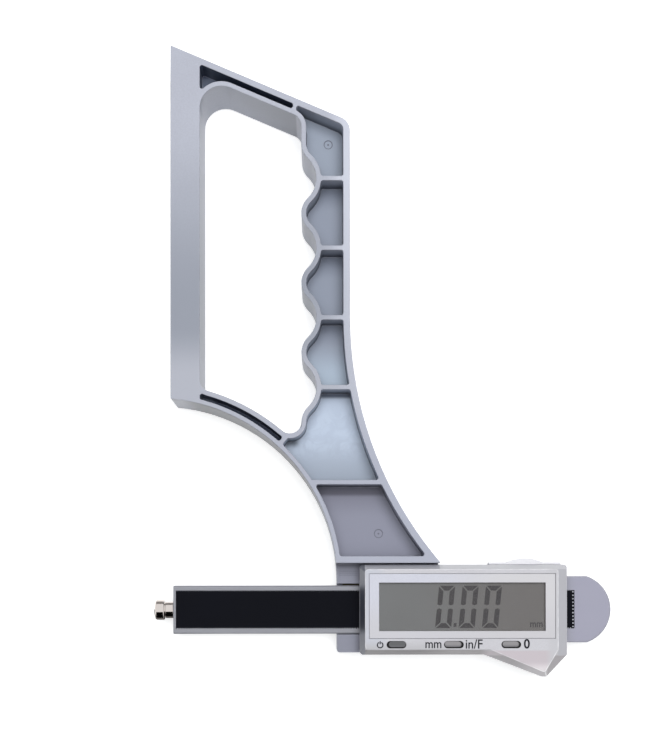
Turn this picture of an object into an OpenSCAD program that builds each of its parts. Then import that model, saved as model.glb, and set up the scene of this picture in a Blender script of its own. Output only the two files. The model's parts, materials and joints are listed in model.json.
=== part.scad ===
// Digital depth gauge: a moulded D handle whose foot is the guide of a flat slide beam, with a
// display module over the beam. The gauge lies on its back: +Z comes out of the display, +X runs
// right along the beam and +Y up the handle. X is counted from the reference face, Y from the
// beam's middle line and Z from the back; placed() then moves it all to the middle of its outline.

/* [Handle] */
// Height of the reference face's top corner above the beam's middle line
handle_top = 183.4; // [175:0.5:195]
// Distance from the reference face to the handle's right side
handle_w = 58.2; // [56:0.2:62]
// Slope of the top edge in degrees
top_slope = 22.9; // [20:0.1:25]
// Width of the bar that carries the reference face
bar_w = 9.5; // [8:0.1:11]
// Radius of the top right corner
corner_r = 4.5; // [3.5:0.1:6]
// Distance from the reference face to the left side of the guide base
foot_x = 53.9; // [52:0.1:55]
// Radius of the hollow under the hand hole
hollow_r = 59.5; // [58:0.1:61]
// Height of the hollow's centre above the beam's middle line
hollow_y = 9.2; // [8:0.1:10]
// Radius of the outward flare above the foot
flare_r = 123; // [118:0.5:130]
// Height at which the flare starts
flare_y = 94.9; // [93:0.1:97]
// Gap between the handle's foot and the display module
foot_gap = 0.5; // [0.3:0.1:1]

/* [Hand hole] */
// Depth of the handle over the hand hole, square to the top edge
top_rim = 5.25; // [5:0.05:6]
// Depth of the handle between the hand hole and the hollow
lower_rim = 4.8; // [4.6:0.1:5.5]
// Distance from the reference face to the crests between the fingers
crest_x = 42.4; // [41:0.1:43]
// Depth of a finger scallop
scallop_depth = 4.85; // [4:0.05:5.5]
// Distance from one scallop to the next
scallop_pitch = 22.65; // [22:0.05:23.2]
// Radius of a scallop's bottom
scallop_r = 9; // [8:0.1:10]
// Height of the top scallop above the beam's middle line
first_scallop_y = 140.2; // [139:0.1:142]
// Number of finger scallops
scallop_count = 4; // [3:1:4]
// Radius of the hand hole's top left corner
hole_top_r = 7; // [5:0.5:8]
// Radius of the hand hole's top right corner
hole_side_r = 4; // [3:0.1:5]
// Radius of the hand hole's bottom left corner
hole_low_r = 3.5; // [3:0.1:5]
// Radius of the hand hole's bottom right end
hole_end_r = 3.8; // [3.5:0.1:4.2]

/* [Handle walls] */
// Wall over the cells along the top edge
top_wall = 2; // [1.8:0.05:2.1]
// Wall along the right side and the flare
side_wall = 2.2; // [1.8:0.1:2.8]
// Wall along the hollow
hollow_wall = 1.5; // [1.3:0.05:1.6]
// Wall at the foot
foot_wall = 2.2; // [1.8:0.1:3]
// Wall round the hand hole
rim_wall = 1.6; // [1.4:0.05:1.65]
// Thickness of a rib between two cells
rib_t = 1.5; // [1.2:0.1:2]
// Thickness of the rib at the right end of the slot along the top edge
end_rib_t = 1.1; // [1:0.1:1.6]
// Height of the rib across the neck above the beam's middle line
neck_rib_y = 41.4; // [38:0.2:45]
// Thickness of the web between the front and the back cells
web_t = 3; // [2:0.1:5]
// Corner radius of the cells
cell_r = 0.7; // [0.5:0.05:0.75]

/* [Guide base] */
// Length of the guide base along the beam
base_w = 62; // [58:0.5:63]
// How far the guide base stays inside the module's top and bottom
base_inset = 0.5; // [0.3:0.1:1]
// Corner radius of the guide base
base_r = 1; // [0.5:0.1:1.5]
// Running gap round the beam
slide_gap = 0.2; // [0.1:0.05:0.3]
// Thickness of the gib leaf between the beam and the base
gib_t = 0.4; // [0.2:0.05:0.6]
// Width of the gib leaf
gib_w = 4.8; // [3:0.1:5.4]
// How far the gib leaf stays inside the base's ends
gib_inset = 2; // [1:0.5:5]

/* [Beam] */
// Height of the beam's back above the handle's back
beam_z = 6.8; // [6:0.1:8]
// Width of the beam
beam_w = 16; // [15.5:0.1:16.5]
// Thickness of the beam
beam_t = 6; // [5.8:0.1:7]
// Bevel along the beam's edges
beam_bevel = 0.5; // [0.2:0.1:0.8]
// How far the beam's end stands past the reference face
beam_out = 0.2; // [0:0.1:2]
// Travel of the beam to the left, until its shoulder meets the base
out_travel = 4; // [2:0.5:5]
// Width of the finger pull
pull_w = 22; // [20:0.2:23]
// Radius of the finger pull's round end
pull_r = 11.6; // [11.5:0.1:13]
// Distance from the module's right side to the centre of the pull's round end
pull_out = 4.2; // [3:0.1:8]
// Width of the scale strip
strip_w = 12.6; // [11:0.1:13]
// Thickness of the scale strip
strip_t = 0.3; // [0.2:0.05:0.5]
// Edge of bare beam left of the scale strip
strip_margin = 0.9; // [0.8:0.1:2]
// How far the scale strip ends before the centre of the pull's round end
strip_short = 0.55; // [0:0.05:1]

/* [Contact point] */
// Diameter of the contact point's head
tip_d = 6.7; // [6:0.1:7.5]
// Length of the contact point's head
tip_len = 3.45; // [3:0.05:5]
// Height of the domed end of the head
tip_dome = 0.5; // [0.2:0.1:0.8]
// Width of the groove behind the head
tip_groove = 0.3; // [0.2:0.05:0.5]
// Diameter of the nose bush's collar
bush_d = 5.6; // [5:0.1:5.8]
// Length of the nose bush's collar
bush_len = 2.75; // [2:0.05:4]
// Diameter of the nose bush's spigot in the beam
spigot_d = 3.6; // [3:0.1:4]
// Length of the nose bush's spigot
spigot_len = 6; // [4:0.5:10]
// Diameter of the contact point's stud
stud_d = 2.4; // [2:0.1:2.6]

/* [Display module] */
// Distance from the base's left side to the module's left side
module_inset = 7.4; // [6:0.1:8]
// Height of the module without its thumb corner
module_h = 29.4; // [29:0.1:30]
// Corner radius of the module
module_r = 1.2; // [0.8:0.1:2]
// Slope's width along the module's right edge
bevel_right = 3.4; // [3:0.1:3.6]
// Slope's width along the module's left edge
bevel_left = 1.7; // [1:0.1:2.2]
// Slope's width along the module's top edge
bevel_top = 1.55; // [1:0.05:2]
// Slope's width along the module's bottom edge
bevel_low = 1.8; // [1:0.1:1.9]
// Height of the slopes
bevel_t = 3.5; // [2.5:0.1:4]
// Wall round the module
case_wall = 2; // [1.8:0.1:2.2]
// Floor of the rear shell
case_floor = 1.2; // [1:0.1:2]
// Thickness of the module's front
case_front = 1.8; // [1.8:0.1:2.5]
// Length of the thumb corner along the module's bottom edge
thumb_w = 27.1; // [26:0.1:30]
// Depth of the thumb corner under the module
thumb_drop = 7.2; // [6:0.1:9]
// Distance from the module's right side to the thumb corner's tip
thumb_in = 6.8; // [6:0.1:9]
// Width of the thumb corner's blunt tip
thumb_tip = 1.6; // [1:0.1:2.5]

/* [Window and buttons] */
// Width of the display window
window_w = 54; // [52:0.1:54.5]
// Distance from the module's left side to the window
window_x = 6.2; // [6:0.1:6.6]
// Distance from the window to the module's right side
window_right = 7.5; // [7.4:0.1:8]
// Distance from the module's bottom to the window
window_low = 7.8; // [7.6:0.1:8.2]
// Thickness of the bezel plate
bezel_t = 1; // [0.8:0.05:1.1]
// Gap round the bezel plate, lens and button stems
fit_gap = 0.15; // [0.1:0.01:0.2]
// Length of a button
button_w = 5.8; // [5:0.1:6.5]
// Height of a button
button_h = 1.8; // [1.7:0.1:2.2]
// How far a button stands out of the front
button_out = 0.3; // [0:0.05:0.6]
// Travel of a button
button_travel = 0.5; // [0.3:0.05:0.6]
// Distance from one button to the next
button_pitch = 18.6; // [18.3:0.1:18.8]
// Distance from the module's left side to the first button's centre
button_x = 11.8; // [11.5:0.1:12.5]
// Distance from the module's bottom to the buttons' centres
button_y = 3.4; // [3.3:0.05:3.6]

/* [Battery] */
// Diameter of the coin cell
cell_d = 20; // [19.8:0.1:20.2]
// Thickness of the coin cell
cell_t = 3.2; // [2.5:0.1:3.6]
// Width of the battery tray
tray_w = 22; // [21.8:0.1:22.2]
// Floor of the battery tray
tray_floor = 0.8; // [0.6:0.1:1.2]
// Gap round the tray in its bay
tray_gap = 0.2; // [0.15:0.01:0.25]
// Distance from the module's right side to the tray's centre
tray_in = 13.55; // [13.4:0.05:13.8]
// Width of the drawer's cover
cover_w = 23.5; // [23:0.1:24]
// Thickness of the drawer's cover
cover_t = 0.7; // [0.5:0.1:1]
// Radius of the finger bump on the cover
bump_r = 14; // [12:0.5:18]
// Height of the finger bump above the cover
bump_h = 1.3; // [1:0.1:2]

/* [Boards and display] */
// Thickness of the circuit boards
board_t = 0.8; // [0.6:0.1:1]
// Thickness of the display's holder
holder_t = 0.9; // [0.8:0.1:1.4]
// Thickness of the display glass
lcd_t = 1.2; // [1:0.1:1.6]
// Thickness of the lens
lens_t = 0.7; // [0.5:0.05:0.75]
// Thickness of the rear shell's rim over the battery bay
bay_rim = 0.5; // [0.4:0.05:0.8]
// Ledge that the sensor board rests on
sensor_ledge = 0.4; // [0.3:0.05:0.5]
// Length of the sensor board
sensor_w = 33; // [28:0.5:36]
// Width of the sensor board
sensor_h = 15; // [14:0.1:15.4]

/* [Screws] */
// Diameter of the screws that hold the module
screw_d = 2.2; // [2:0.1:2.4]
// Diameter of their heads
screw_head_d = 4; // [3.6:0.1:4.4]
// Height of their heads
screw_head_h = 1.6; // [1.2:0.1:2]
// Distance from the module's left side to the first pair
screw_x = 4; // [3.8:0.1:4.2]
// Distance from the second pair to the battery tray
screw_to_tray = 2.65; // [2.6:0.05:2.9]
// Diameter of the bosses round the screws
boss_d = 3.6; // [3.4:0.1:3.8]
// Diameter of the board's own screws
board_screw_d = 1.4; // [1.2:0.1:1.6]

/* [Hidden] */

// Overrun of every cut past the face it opens
over = 1;
// Smoothness of turned and of blended shapes
$fn = 96;
arc_fn = 180;
cell_fn = 48;
blend_fn = 24;
corner_fn = 32;
plastic_grey = [0.66, 0.67, 0.72];
silver = [0.80, 0.80, 0.82];
steel = [0.72, 0.72, 0.74];
brass = [0.78, 0.62, 0.30];
board_green = [0.10, 0.36, 0.22];
black = [0.05, 0.05, 0.07];

// Heights of the stack, from the back to the front
channel_z = beam_z - slide_gap;
base_t = beam_z + beam_t + slide_gap;
tray_z = base_t + case_floor + tray_gap;
cell_z = tray_z + tray_floor;
tray_rise = 0.1;
tray_top = cell_z + cell_t + tray_rise;
split_z = tray_top + tray_gap + bay_rim;
holder_z = split_z + board_t;
lcd_z = holder_z + holder_t;
ceiling_gap = 0.1;
ceiling_z = lcd_z + lcd_t + ceiling_gap;
front_z = ceiling_z + case_front;
bezel_z = front_z - bezel_t;
beam_mid_z = beam_z + beam_t / 2;

// Places along the gauge
hollow_x = foot_x - hollow_r;
flare_x = handle_w + flare_r;
foot_y = module_h / 2 + foot_gap;
foot_right = flare_x - sqrt(pow(flare_r, 2) - pow(flare_y - foot_y, 2));
base_h = module_h - 2 * base_inset;
base_right = foot_x + base_w;
module_w = window_x + window_w + window_right;
module_left = foot_x + module_inset;
module_right = module_left + module_w;
pull_x = module_right + pull_out;
shoulder_gap = 0.3;
pull_left = base_right + out_travel + shoulder_gap;
channel_low = -beam_w / 2 - slide_gap;
channel_high = beam_w / 2 + gib_t + slide_gap;
thumb_x = module_right - thumb_in;
tip_x = -beam_out - bush_len - tip_groove;
centre_x = (pull_x + pull_r + tip_x - tip_len) / 2;
centre_y = (handle_top - module_h / 2 - thumb_drop) / 2;

// Finger scallops and crests: arcs that run into each other without a corner
arc_sum = (pow(scallop_pitch / 2, 2) + pow(scallop_depth, 2)) / (2 * scallop_depth);
crest_r = arc_sum - scallop_r;
scallop_x = crest_x + scallop_depth - scallop_r;
crest_centre_x = crest_x + crest_r;
turn_x = scallop_x + scallop_r * (crest_centre_x - scallop_x) / arc_sum;
turn_y = scallop_r * scallop_pitch / 2 / arc_sum;
last_crest_y = crest_y(scallop_count);
ring_r = hollow_r + lower_rim;
end_x = crest_x - hole_end_r;
end_y = hollow_y + sqrt(pow(ring_r + hole_end_r, 2) - pow(end_x - hollow_x, 2));
low_x = bar_w + hole_low_r;
low_y = hollow_y + sqrt(pow(ring_r + hole_low_r, 2) - pow(low_x - hollow_x, 2));

// Window, display and lens: the display fills the room from the buttons up to the screws' bosses
screw_y = (base_h / 2 + channel_high) / 2;
lcd_edge = 0.55;
lcd_gap = 0.25;
window_left = module_left + window_x;
window_mid_x = window_left + window_w / 2;
window_top = screw_y - boss_d / 2 - lcd_gap - lcd_edge;
window_h = window_top + module_h / 2 - window_low;
window_mid_y = window_top - window_h / 2;
bezel_side = 3.3;
bezel_top = 3;
bezel_low = 2.5;
lens_edge = 1.4;
lcd_w = window_w + 2 * lcd_edge;
lcd_h = window_h + 2 * lcd_edge;
zebra_w = 1.2;
zebra_in = 0.8;

// Screws, bosses and posts
tray_x = module_right - tray_in;
screw_slack = 0.1;
thread_gap = 0.05;
screw_places = [for (x = [module_left + screw_x, tray_x - tray_w / 2 - screw_to_tray],
    y = [-1, 1]) [x, y * screw_y]];
case_screw_in = 3.6;
case_screw_rise = 3.3;
thumb_screw_rise = 4.8;
case_screw_places = [[module_right - case_screw_in, -module_h / 2 + case_screw_rise],
    [thumb_x - thumb_tip / 2, -module_h / 2 - thumb_drop + thumb_screw_rise]];
screw_bite = 2.5;
board_edge = 0.4;
post_d = 2.8;
post_in = 1;
post_x = module_left + button_x + button_pitch / 2;
post_to_screw = 5.8;
last_post_x = module_right - case_screw_in - post_to_screw;
post_y = module_h / 2 - case_wall - board_edge - post_in;
post_places = [[post_x, post_y], [post_x, -post_y], [last_post_x, -post_y]];
board_head_d = 2.4;
board_head_h = 0.7;
socket_d = 1.9;
socket_share = 0.6;

// Buttons and their switches
button_places = [for (i = [0:2]) [module_left + button_x + i * button_pitch,
    -module_h / 2 + button_y]];
button_gap = 0.3;
flange_out = 0.8;
flange_h = 2.7;
seal_t = 0.25;
seal_out = 1.2;
flange_top = ceiling_z - seal_t - ceiling_gap;
flange_t = 0.65;
flange_z = flange_top - flange_t;
switch_w = 4.5;
switch_h = 2.6;
plunger_d = 1.8;
plunger_gap = 0.15;
switch_t = flange_z - button_travel - ceiling_gap - holder_z;
plunger_z = holder_z + button_travel + ceiling_gap / 2;

// Battery drawer
cell_gap = 0.2;
cell_in = 11.8;
cell_y = module_h / 2 - cell_in;
tray_end = 1.8;
tray_low = cell_y - cell_d / 2 - cell_gap + tray_end;
tray_hole_share = 0.7;
cover_lap = 0.5;
cover_z = tray_z - tray_gap - cover_lap;
cover_h = tray_top + tray_gap + cover_lap - cover_z;
cover_gap = 0.05;
seal_band = 0.8;
seal_in = 0.9;
seal_depth = 0.4;
seal_lip = 0.15;
contact_t = 0.3;
contact_w = 5;
contact_len = 11;
contact_gap = 0.15;

// Gasket between the two shells
gasket_in = 0.6;
gasket_w = 0.8;
gasket_t = 0.5;

// Boards and what they carry
cavity_right = module_right - bevel_right - board_edge;
board_right = cavity_right - board_edge;
sensor_x = 6.7;
sensor_left = module_left + sensor_x;
sensor_rest = 1.2;
link_w = 2.5;
link_h = 10;
link_in = 2.2;
chip_d = 8;
chip_h = 1.4;
chip_places_share = [0.42, 0.60];
crystal_w = 5;
crystal_h = 1.9;
passive_w = 1.6;
passive_h = 0.8;
passive_pitch = 3.2;
passive_count = 5;
ejector_r = 1.5;
ejector_depth = 0.25;
ejector_shares = [[0.88, 0.84], [1.163, 0.137]];
ejector_places = [for (s = ejector_shares) [s[0] * handle_w, s[1] * handle_top]];

function crest_y(i) = first_scallop_y + scallop_pitch / 2 - i * scallop_pitch;
function top_y(x, inset) = handle_top - x * tan(top_slope) - inset / cos(top_slope);

module placed() translate([-centre_x, -centre_y, 0]) children();

// A plate from one height to another over a drawn outline
module slab(z0, z1) translate([0, 0, z0]) linear_extrude(z1 - z0) children();

// A post or a hole along Z at each place of a list
module posts(places, d, z0, z1)
    for (p = places) translate([p[0], p[1], z0]) cylinder(d = d, h = z1 - z0);

// A round notch at each place of a list, open towards the near long edge
module notches(places, d, z0, z1) slab(z0, z1) for (p = places) {
    translate(p) circle(d = d);
    translate([p[0] - d / 2, p[1] > 0 ? p[1] : p[1] - d]) square(d);
}

// A rectangle with round corners, from its corners
module round_rect(low, high, r) {
    translate([low[0] + r, low[1]]) square([high[0] - low[0] - 2 * r, high[1] - low[1]]);
    translate([low[0], low[1] + r]) square([high[0] - low[0], high[1] - low[1] - 2 * r]);
    for (x = [low[0] + r, high[0] - r], y = [low[1] + r, high[1] - r])
        translate([x, y]) circle(r);
}

// A rectangle from its middle
module mid_rect(mid, size) translate([mid[0] - size[0] / 2, mid[1] - size[1] / 2]) square(size);

// An oblong with round ends, from its middle
module oblong(w, h) {
    mid_rect([0, 0], [w - h, h]);
    for (side = [-1, 1]) translate([side * (w - h) / 2, 0]) circle(d = h);
}

// Outline of the handle above the foot, drawn in by a wall on each side
module handle_outline(left = 0, top = 0, side = 0, hollow = 0, foot = 0) {
    r = corner_r - side;
    x = handle_w - corner_r;
    y = top_y(x, top) - r / cos(top_slope);
    difference() {
        union() {
            polygon([[left, foot_y + foot], [left, top_y(left, top)],
                [x + r * sin(top_slope), y + r * cos(top_slope)], [x + r, y],
                [handle_w - side, flare_y], [foot_right, foot_y + foot]]);
            translate([x, y]) circle(r);
        }
        translate([hollow_x, hollow_y]) circle(hollow_r + hollow, $fn = arc_fn);
        translate([flare_x, flare_y]) circle(flare_r + side, $fn = arc_fn);
    }
}

// Outline of the hand hole: sloped top, finger scallops at the right, a ring arc below
module hand_hole() {
    top_x = bar_w + hole_top_r;
    top_c = top_y(top_x, top_rim) - hole_top_r / cos(top_slope);
    side_x = crest_x - hole_side_r;
    side_c = top_y(side_x, top_rim) - hole_side_r / cos(top_slope);
    lean = [sin(top_slope), cos(top_slope)];
    end_lean = [end_x - hollow_x, end_y - hollow_y] * hole_end_r / (ring_r + hole_end_r);
    low_lean = [low_x - hollow_x, low_y - hollow_y] * hole_low_r / (ring_r + hole_low_r);
    difference() {
        union() {
            polygon([[bar_w, low_y], [bar_w, top_c], [top_x, top_c] + hole_top_r * lean,
                [side_x, side_c] + hole_side_r * lean, [crest_x, side_c],
                [crest_x, crest_y(0)], [turn_x, first_scallop_y + turn_y],
                [turn_x, last_crest_y + scallop_pitch / 2 - turn_y], [crest_x, last_crest_y],
                [crest_x, end_y], [end_x, end_y], [end_x, end_y] - end_lean,
                [low_x, low_y] - low_lean, [low_x, low_y]]);
            translate([top_x, top_c]) circle(hole_top_r);
            translate([side_x, side_c]) circle(hole_side_r);
            translate([end_x, end_y]) circle(hole_end_r);
            translate([low_x, low_y]) circle(hole_low_r);
            for (i = [0:scallop_count - 1])
                translate([scallop_x, first_scallop_y - i * scallop_pitch]) circle(scallop_r);
        }
        translate([hollow_x, hollow_y]) circle(ring_r, $fn = arc_fn);
        for (i = [0:scallop_count]) translate([crest_centre_x, crest_y(i)]) circle(crest_r);
    }
}

// The cells between the walls and ribs of the handle, with blended corners
module handle_cells()
    offset(r = cell_r, $fn = blend_fn) offset(delta = -cell_r) difference() {
        handle_outline(bar_w, top_wall, side_wall, hollow_wall, foot_wall, $fn = cell_fn);
        offset(r = rim_wall) hand_hole($fn = cell_fn);
        for (i = [0:scallop_count - 1])
            translate([crest_x, first_scallop_y - i * scallop_pitch - rib_t / 2])
                square([handle_w, rib_t]);
        translate([crest_x, neck_rib_y - rib_t / 2]) square([handle_w, rib_t]);
        translate([crest_x - rim_wall - end_rib_t, first_scallop_y])
            square([end_rib_t, handle_top]);
        translate([hollow_x, hollow_y]) rotate(atan2(end_y - hollow_y, end_x - hollow_x))
            translate([0, -2 * rib_t]) square([ring_r, rib_t]);
    }

// The guide base and the part of the foot that it runs into
module base_outline() {
    round_rect([foot_x, -base_h / 2], [base_right, base_h / 2], base_r);
    difference() {
        polygon([[foot_x, 0], [foot_x, hollow_y], [foot_x - over, hollow_y],
            [foot_x - over, foot_y + foot_wall / 2], [foot_right, foot_y + foot_wall / 2],
            [foot_right, 0]]);
        translate([hollow_x, hollow_y]) circle(hollow_r);
    }
}

module handle_frame() color(plastic_grey) placed() difference() {
    union() {
        slab(0, front_z) difference() {
            handle_outline();
            hand_hole();
        }
        slab(0, base_t) base_outline();
    }
    slab((front_z + web_t) / 2, front_z + over) handle_cells();
    slab(-over, (front_z - web_t) / 2) handle_cells();
    posts(ejector_places, 2 * ejector_r, (front_z + web_t) / 2 - ejector_depth, front_z);
    slab(channel_z, base_t + over) translate([foot_x - over, channel_low])
        square([base_w + 2 * over, channel_high - channel_low]);
    posts(screw_places, screw_d + 2 * screw_slack, -over, base_t + over);
    posts(screw_places, screw_head_d + 2 * screw_slack, -over, screw_head_h + slide_gap);
}

module gib_leaf() color(brass) placed()
    slab(beam_mid_z - gib_w / 2, beam_mid_z + gib_w / 2)
        translate([foot_x + gib_inset, channel_high - slide_gap / 2 - gib_t])
            square([base_w - 2 * gib_inset, gib_t]);

// A bar along X with bevelled long edges
module bevelled_bar(x0, x1, w, t, bevel)
    translate([x0, 0, 0]) rotate([90, 0, 90]) linear_extrude(x1 - x0)
        polygon([[-w / 2, bevel], [-w / 2 + bevel, 0], [w / 2 - bevel, 0], [w / 2, bevel],
            [w / 2, t - bevel], [w / 2 - bevel, t], [-w / 2 + bevel, t], [-w / 2, t - bevel]]);

module beam() color(plastic_grey) placed() difference() {
    translate([0, 0, beam_z]) union() {
        bevelled_bar(-beam_out, pull_x, beam_w, beam_t, beam_bevel);
        intersection() {
            bevelled_bar(pull_left, pull_x + pull_r, pull_w, beam_t, beam_bevel);
            union() {
                translate([pull_x, 0, 0]) rotate_extrude() polygon([[0, 0],
                    [pull_r - beam_bevel, 0], [pull_r, beam_bevel], [pull_r, beam_t - beam_bevel],
                    [pull_r - beam_bevel, beam_t], [0, beam_t]]);
                translate([pull_left, -pull_w / 2, 0])
                    cube([pull_x - pull_left, pull_w, beam_t]);
            }
        }
    }
    slab(beam_z + beam_t - strip_t, base_t + over) strip_outline();
    translate([-beam_out - over, 0, beam_mid_z]) rotate([0, 90, 0])
        cylinder(d = spigot_d + screw_slack, h = spigot_len + over + screw_slack);
}

module strip_outline() translate([strip_margin - beam_out, -strip_w / 2])
    square([pull_x - strip_short - strip_margin + beam_out, strip_w]);

module scale_strip() color(black) placed()
    slab(beam_z + beam_t - strip_t, beam_z + beam_t) strip_outline();

// The profile is drawn as radius and distance along the beam, then turned about its axis
module nose_bush() color(steel) placed() translate([-beam_out, 0, beam_mid_z])
    rotate([0, 90, 0]) rotate_extrude() polygon([[stud_d / 2 + screw_slack, -bush_len],
        [bush_d / 2, -bush_len], [bush_d / 2, 0], [spigot_d / 2, 0],
        [spigot_d / 2, spigot_len], [stud_d / 2 + screw_slack, spigot_len]]);

module contact_point() color(steel) placed() translate([tip_x, 0, beam_mid_z])
    rotate([0, 90, 0]) rotate_extrude() polygon([[0, -tip_len],
        [tip_d / 4, -tip_len + tip_dome / 5], [tip_d / 2 - tip_dome / 2, -tip_len + tip_dome],
        [tip_d / 2, -tip_len + 2 * tip_dome], [tip_d / 2, 0], [tip_d / 2 - tip_groove, 0],
        [bush_d / 2 - tip_groove, 0], [bush_d / 2 - tip_groove, tip_groove],
        [stud_d / 2, tip_groove], [stud_d / 2, tip_groove + bush_len + spigot_len / 2],
        [0, tip_groove + bush_len + spigot_len / 2]]);

// Outline of the module with its thumb corner, at the widest part of the shells
module case_outline() {
    round_rect([module_left, -module_h / 2], [module_right, module_h / 2], module_r);
    polygon(thumb_points(0, 0));
}

function thumb_points(inset, right) = [[module_right - thumb_w + inset, -module_h / 2 + inset],
    [thumb_x - thumb_tip, -module_h / 2 - thumb_drop + inset],
    [thumb_x - inset / 2, -module_h / 2 - thumb_drop + inset],
    [module_right - right, -module_h / 2 + inset], [module_right - right, 0],
    [module_right - thumb_w + inset, 0]];

// Solid of the front shell: straight at the split, then sloped in on every side
module front_block() {
    $fn = corner_fn;
    slope_z = front_z - bevel_t;
    skin = case_front / 100;
    low = [module_left, -module_h / 2];
    high = [module_right, module_h / 2];
    slab(split_z, slope_z + skin) case_outline();
    hull() {
        slab(slope_z, slope_z + skin) round_rect(low, high, module_r);
        slab(front_z - skin, front_z) round_rect(low + [bevel_left, bevel_low],
            high - [bevel_right, bevel_top], module_r);
    }
    hull() {
        slab(slope_z, slope_z + skin) polygon(thumb_points(0, 0));
        slab(front_z - skin, front_z) polygon(thumb_points(bevel_low, bevel_right));
    }
}

module rear_shell() color(plastic_grey) placed() difference() {
    union() {
        difference() {
            slab(base_t, split_z) case_outline($fn = corner_fn);
            slab(base_t + case_floor, split_z + over) round_rect(
                [module_left + case_wall, -module_h / 2 + case_wall],
                [module_right - case_wall, module_h / 2 - case_wall], module_r);
        }
        posts(screw_places, boss_d, base_t, split_z);
        posts([case_screw_places[0]], boss_d, base_t, split_z);
    }
    translate([sensor_left, 0, 0]) {
        slab(base_t + sensor_ledge, split_z) mid_rect([sensor_w / 2, 0],
            [sensor_w + 2 * fit_gap, sensor_h + 2 * fit_gap]);
        slab(base_t - over, split_z) mid_rect([sensor_w / 2, 0],
            [sensor_w - 2 * sensor_rest, sensor_h - 2 * sensor_rest]);
    }
    slab(tray_z - tray_gap, tray_top + tray_gap) mid_rect([tray_x, module_h / 2],
        [tray_w + 2 * tray_gap, 2 * case_wall + 2 * over]);
    posts(concat(screw_places, case_screw_places), screw_d + 2 * screw_slack,
        base_t - over, split_z + over);
    posts(case_screw_places, screw_head_d + 2 * screw_slack, base_t - over,
        base_t + screw_head_h);
}

module front_shell() color(silver) placed() difference() {
    union() {
        difference() {
            front_block();
            slab(split_z - over, ceiling_z) round_rect(
                [module_left + case_wall, -module_h / 2 + case_wall],
                [cavity_right, module_h / 2 - case_wall], module_r);
        }
        intersection() {
            posts(concat(screw_places, [case_screw_places[0]]), boss_d, split_z, ceiling_z);
            slab(split_z, ceiling_z) case_outline();
        }
        posts(post_places, post_d, holder_z, ceiling_z);
    }
    slab(bezel_z, front_z + over) bezel_outline(0);
    slab(ceiling_z - over, front_z) lens_outline(0);
    for (p = button_places) translate(p) slab(ceiling_z - over, front_z + over)
        oblong(button_w + 2 * button_gap, button_h + 2 * button_gap);
    slab(split_z - over, split_z + gasket_t) gasket_outline();
    posts(concat(screw_places, case_screw_places), screw_d + 2 * thread_gap, split_z - over,
        split_z + screw_bite);
    posts(post_places, board_screw_d + 2 * thread_gap, holder_z - over,
        holder_z + screw_bite / 2);
}

module bezel_outline(gap) translate([window_left - bezel_side + gap, window_top + bezel_top - gap])
    mirror([0, 1]) square([window_w + 2 * (bezel_side - gap),
        window_h + bezel_top + bezel_low - 2 * gap]);

module lens_outline(gap) mid_rect([window_mid_x, window_mid_y],
    [window_w + 2 * (lens_edge - gap), window_h + 2 * (lens_edge - gap)]);

module lcd_outline() mid_rect([window_mid_x, window_mid_y], [lcd_w, lcd_h]);

module bezel_plate() color(silver) placed() slab(bezel_z, front_z) difference() {
    bezel_outline(fit_gap);
    mid_rect([window_mid_x, window_mid_y], [window_w, window_h]);
}

module window_lens() color([0.75, 0.78, 0.80, 0.35]) placed()
    slab(bezel_z - lens_t, bezel_z) lens_outline(fit_gap);

module lcd_glass() color([0.47, 0.47, 0.48]) placed() slab(lcd_z, lcd_z + lcd_t) lcd_outline();

module zebra_outline() for (side = [-1, 1])
    mid_rect([window_mid_x, window_mid_y + side * (lcd_h / 2 - zebra_in - zebra_w / 2)],
        [window_w - lens_edge, zebra_w]);

module lcd_holder() color("white") placed() slab(holder_z, lcd_z) difference() {
    lcd_outline();
    offset(delta = fit_gap / 2) zebra_outline();
}

module zebra_strips() color(black) placed() slab(holder_z, lcd_z) zebra_outline();

module main_board() color(board_green) placed() difference() {
    slab(split_z, holder_z) translate([module_left + case_wall + board_edge,
        -module_h / 2 + case_wall + board_edge]) square([board_right - module_left - case_wall
        - board_edge, module_h - 2 * case_wall - 2 * board_edge]);
    notches(concat(screw_places, [case_screw_places[0]]), boss_d + 2 * board_edge,
        split_z - over, holder_z + over);
    posts(post_places, board_screw_d + 2 * screw_slack, split_z - over, holder_z + over);
}

// Parts on the back of the main board: the chip under its drop of resin, the crystal's can
// and a row of chip capacitors
module board_parts() color(black) placed() {
    chip_x = module_left + chip_places_share[0] * module_w;
    translate([chip_x, 0, split_z]) intersection() {
        scale_r = (pow(chip_d / 2, 2) + pow(chip_h, 2)) / (2 * chip_h);
        translate([0, 0, scale_r - chip_h]) sphere(scale_r);
        translate([0, 0, -chip_h]) cylinder(d = chip_d, h = chip_h);
    }
    slab(split_z - crystal_h, split_z) translate([chip_x + chip_d, 0])
        oblong(crystal_w, crystal_h);
    slab(split_z - passive_h, split_z) for (i = [0:passive_count - 1])
        mid_rect([chip_x - chip_d + i * passive_pitch, chip_d * chip_places_share[1] + passive_w],
            [passive_w, passive_h]);
}

module sensor_board() color(board_green) placed()
    slab(base_t + sensor_ledge, base_t + sensor_ledge + board_t)
        mid_rect([sensor_left + sensor_w / 2, 0], [sensor_w, sensor_h]);

module board_link() color(black) placed() slab(base_t + sensor_ledge + board_t, split_z)
    mid_rect([sensor_left + link_in + link_w / 2, 0], [link_w, link_h]);

module tact_switches() color(steel) placed() difference() {
    for (p = button_places) slab(holder_z, holder_z + switch_t) mid_rect(p, [switch_w, switch_h]);
    posts(button_places, plunger_d + 2 * plunger_gap, holder_z - over, holder_z + over);
}

module plunger(i) color(black) placed() posts([button_places[i]], plunger_d, plunger_z, flange_z);
module power_plunger() plunger(0);
module unit_plunger() plunger(1);
module zero_plunger() plunger(2);

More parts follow.
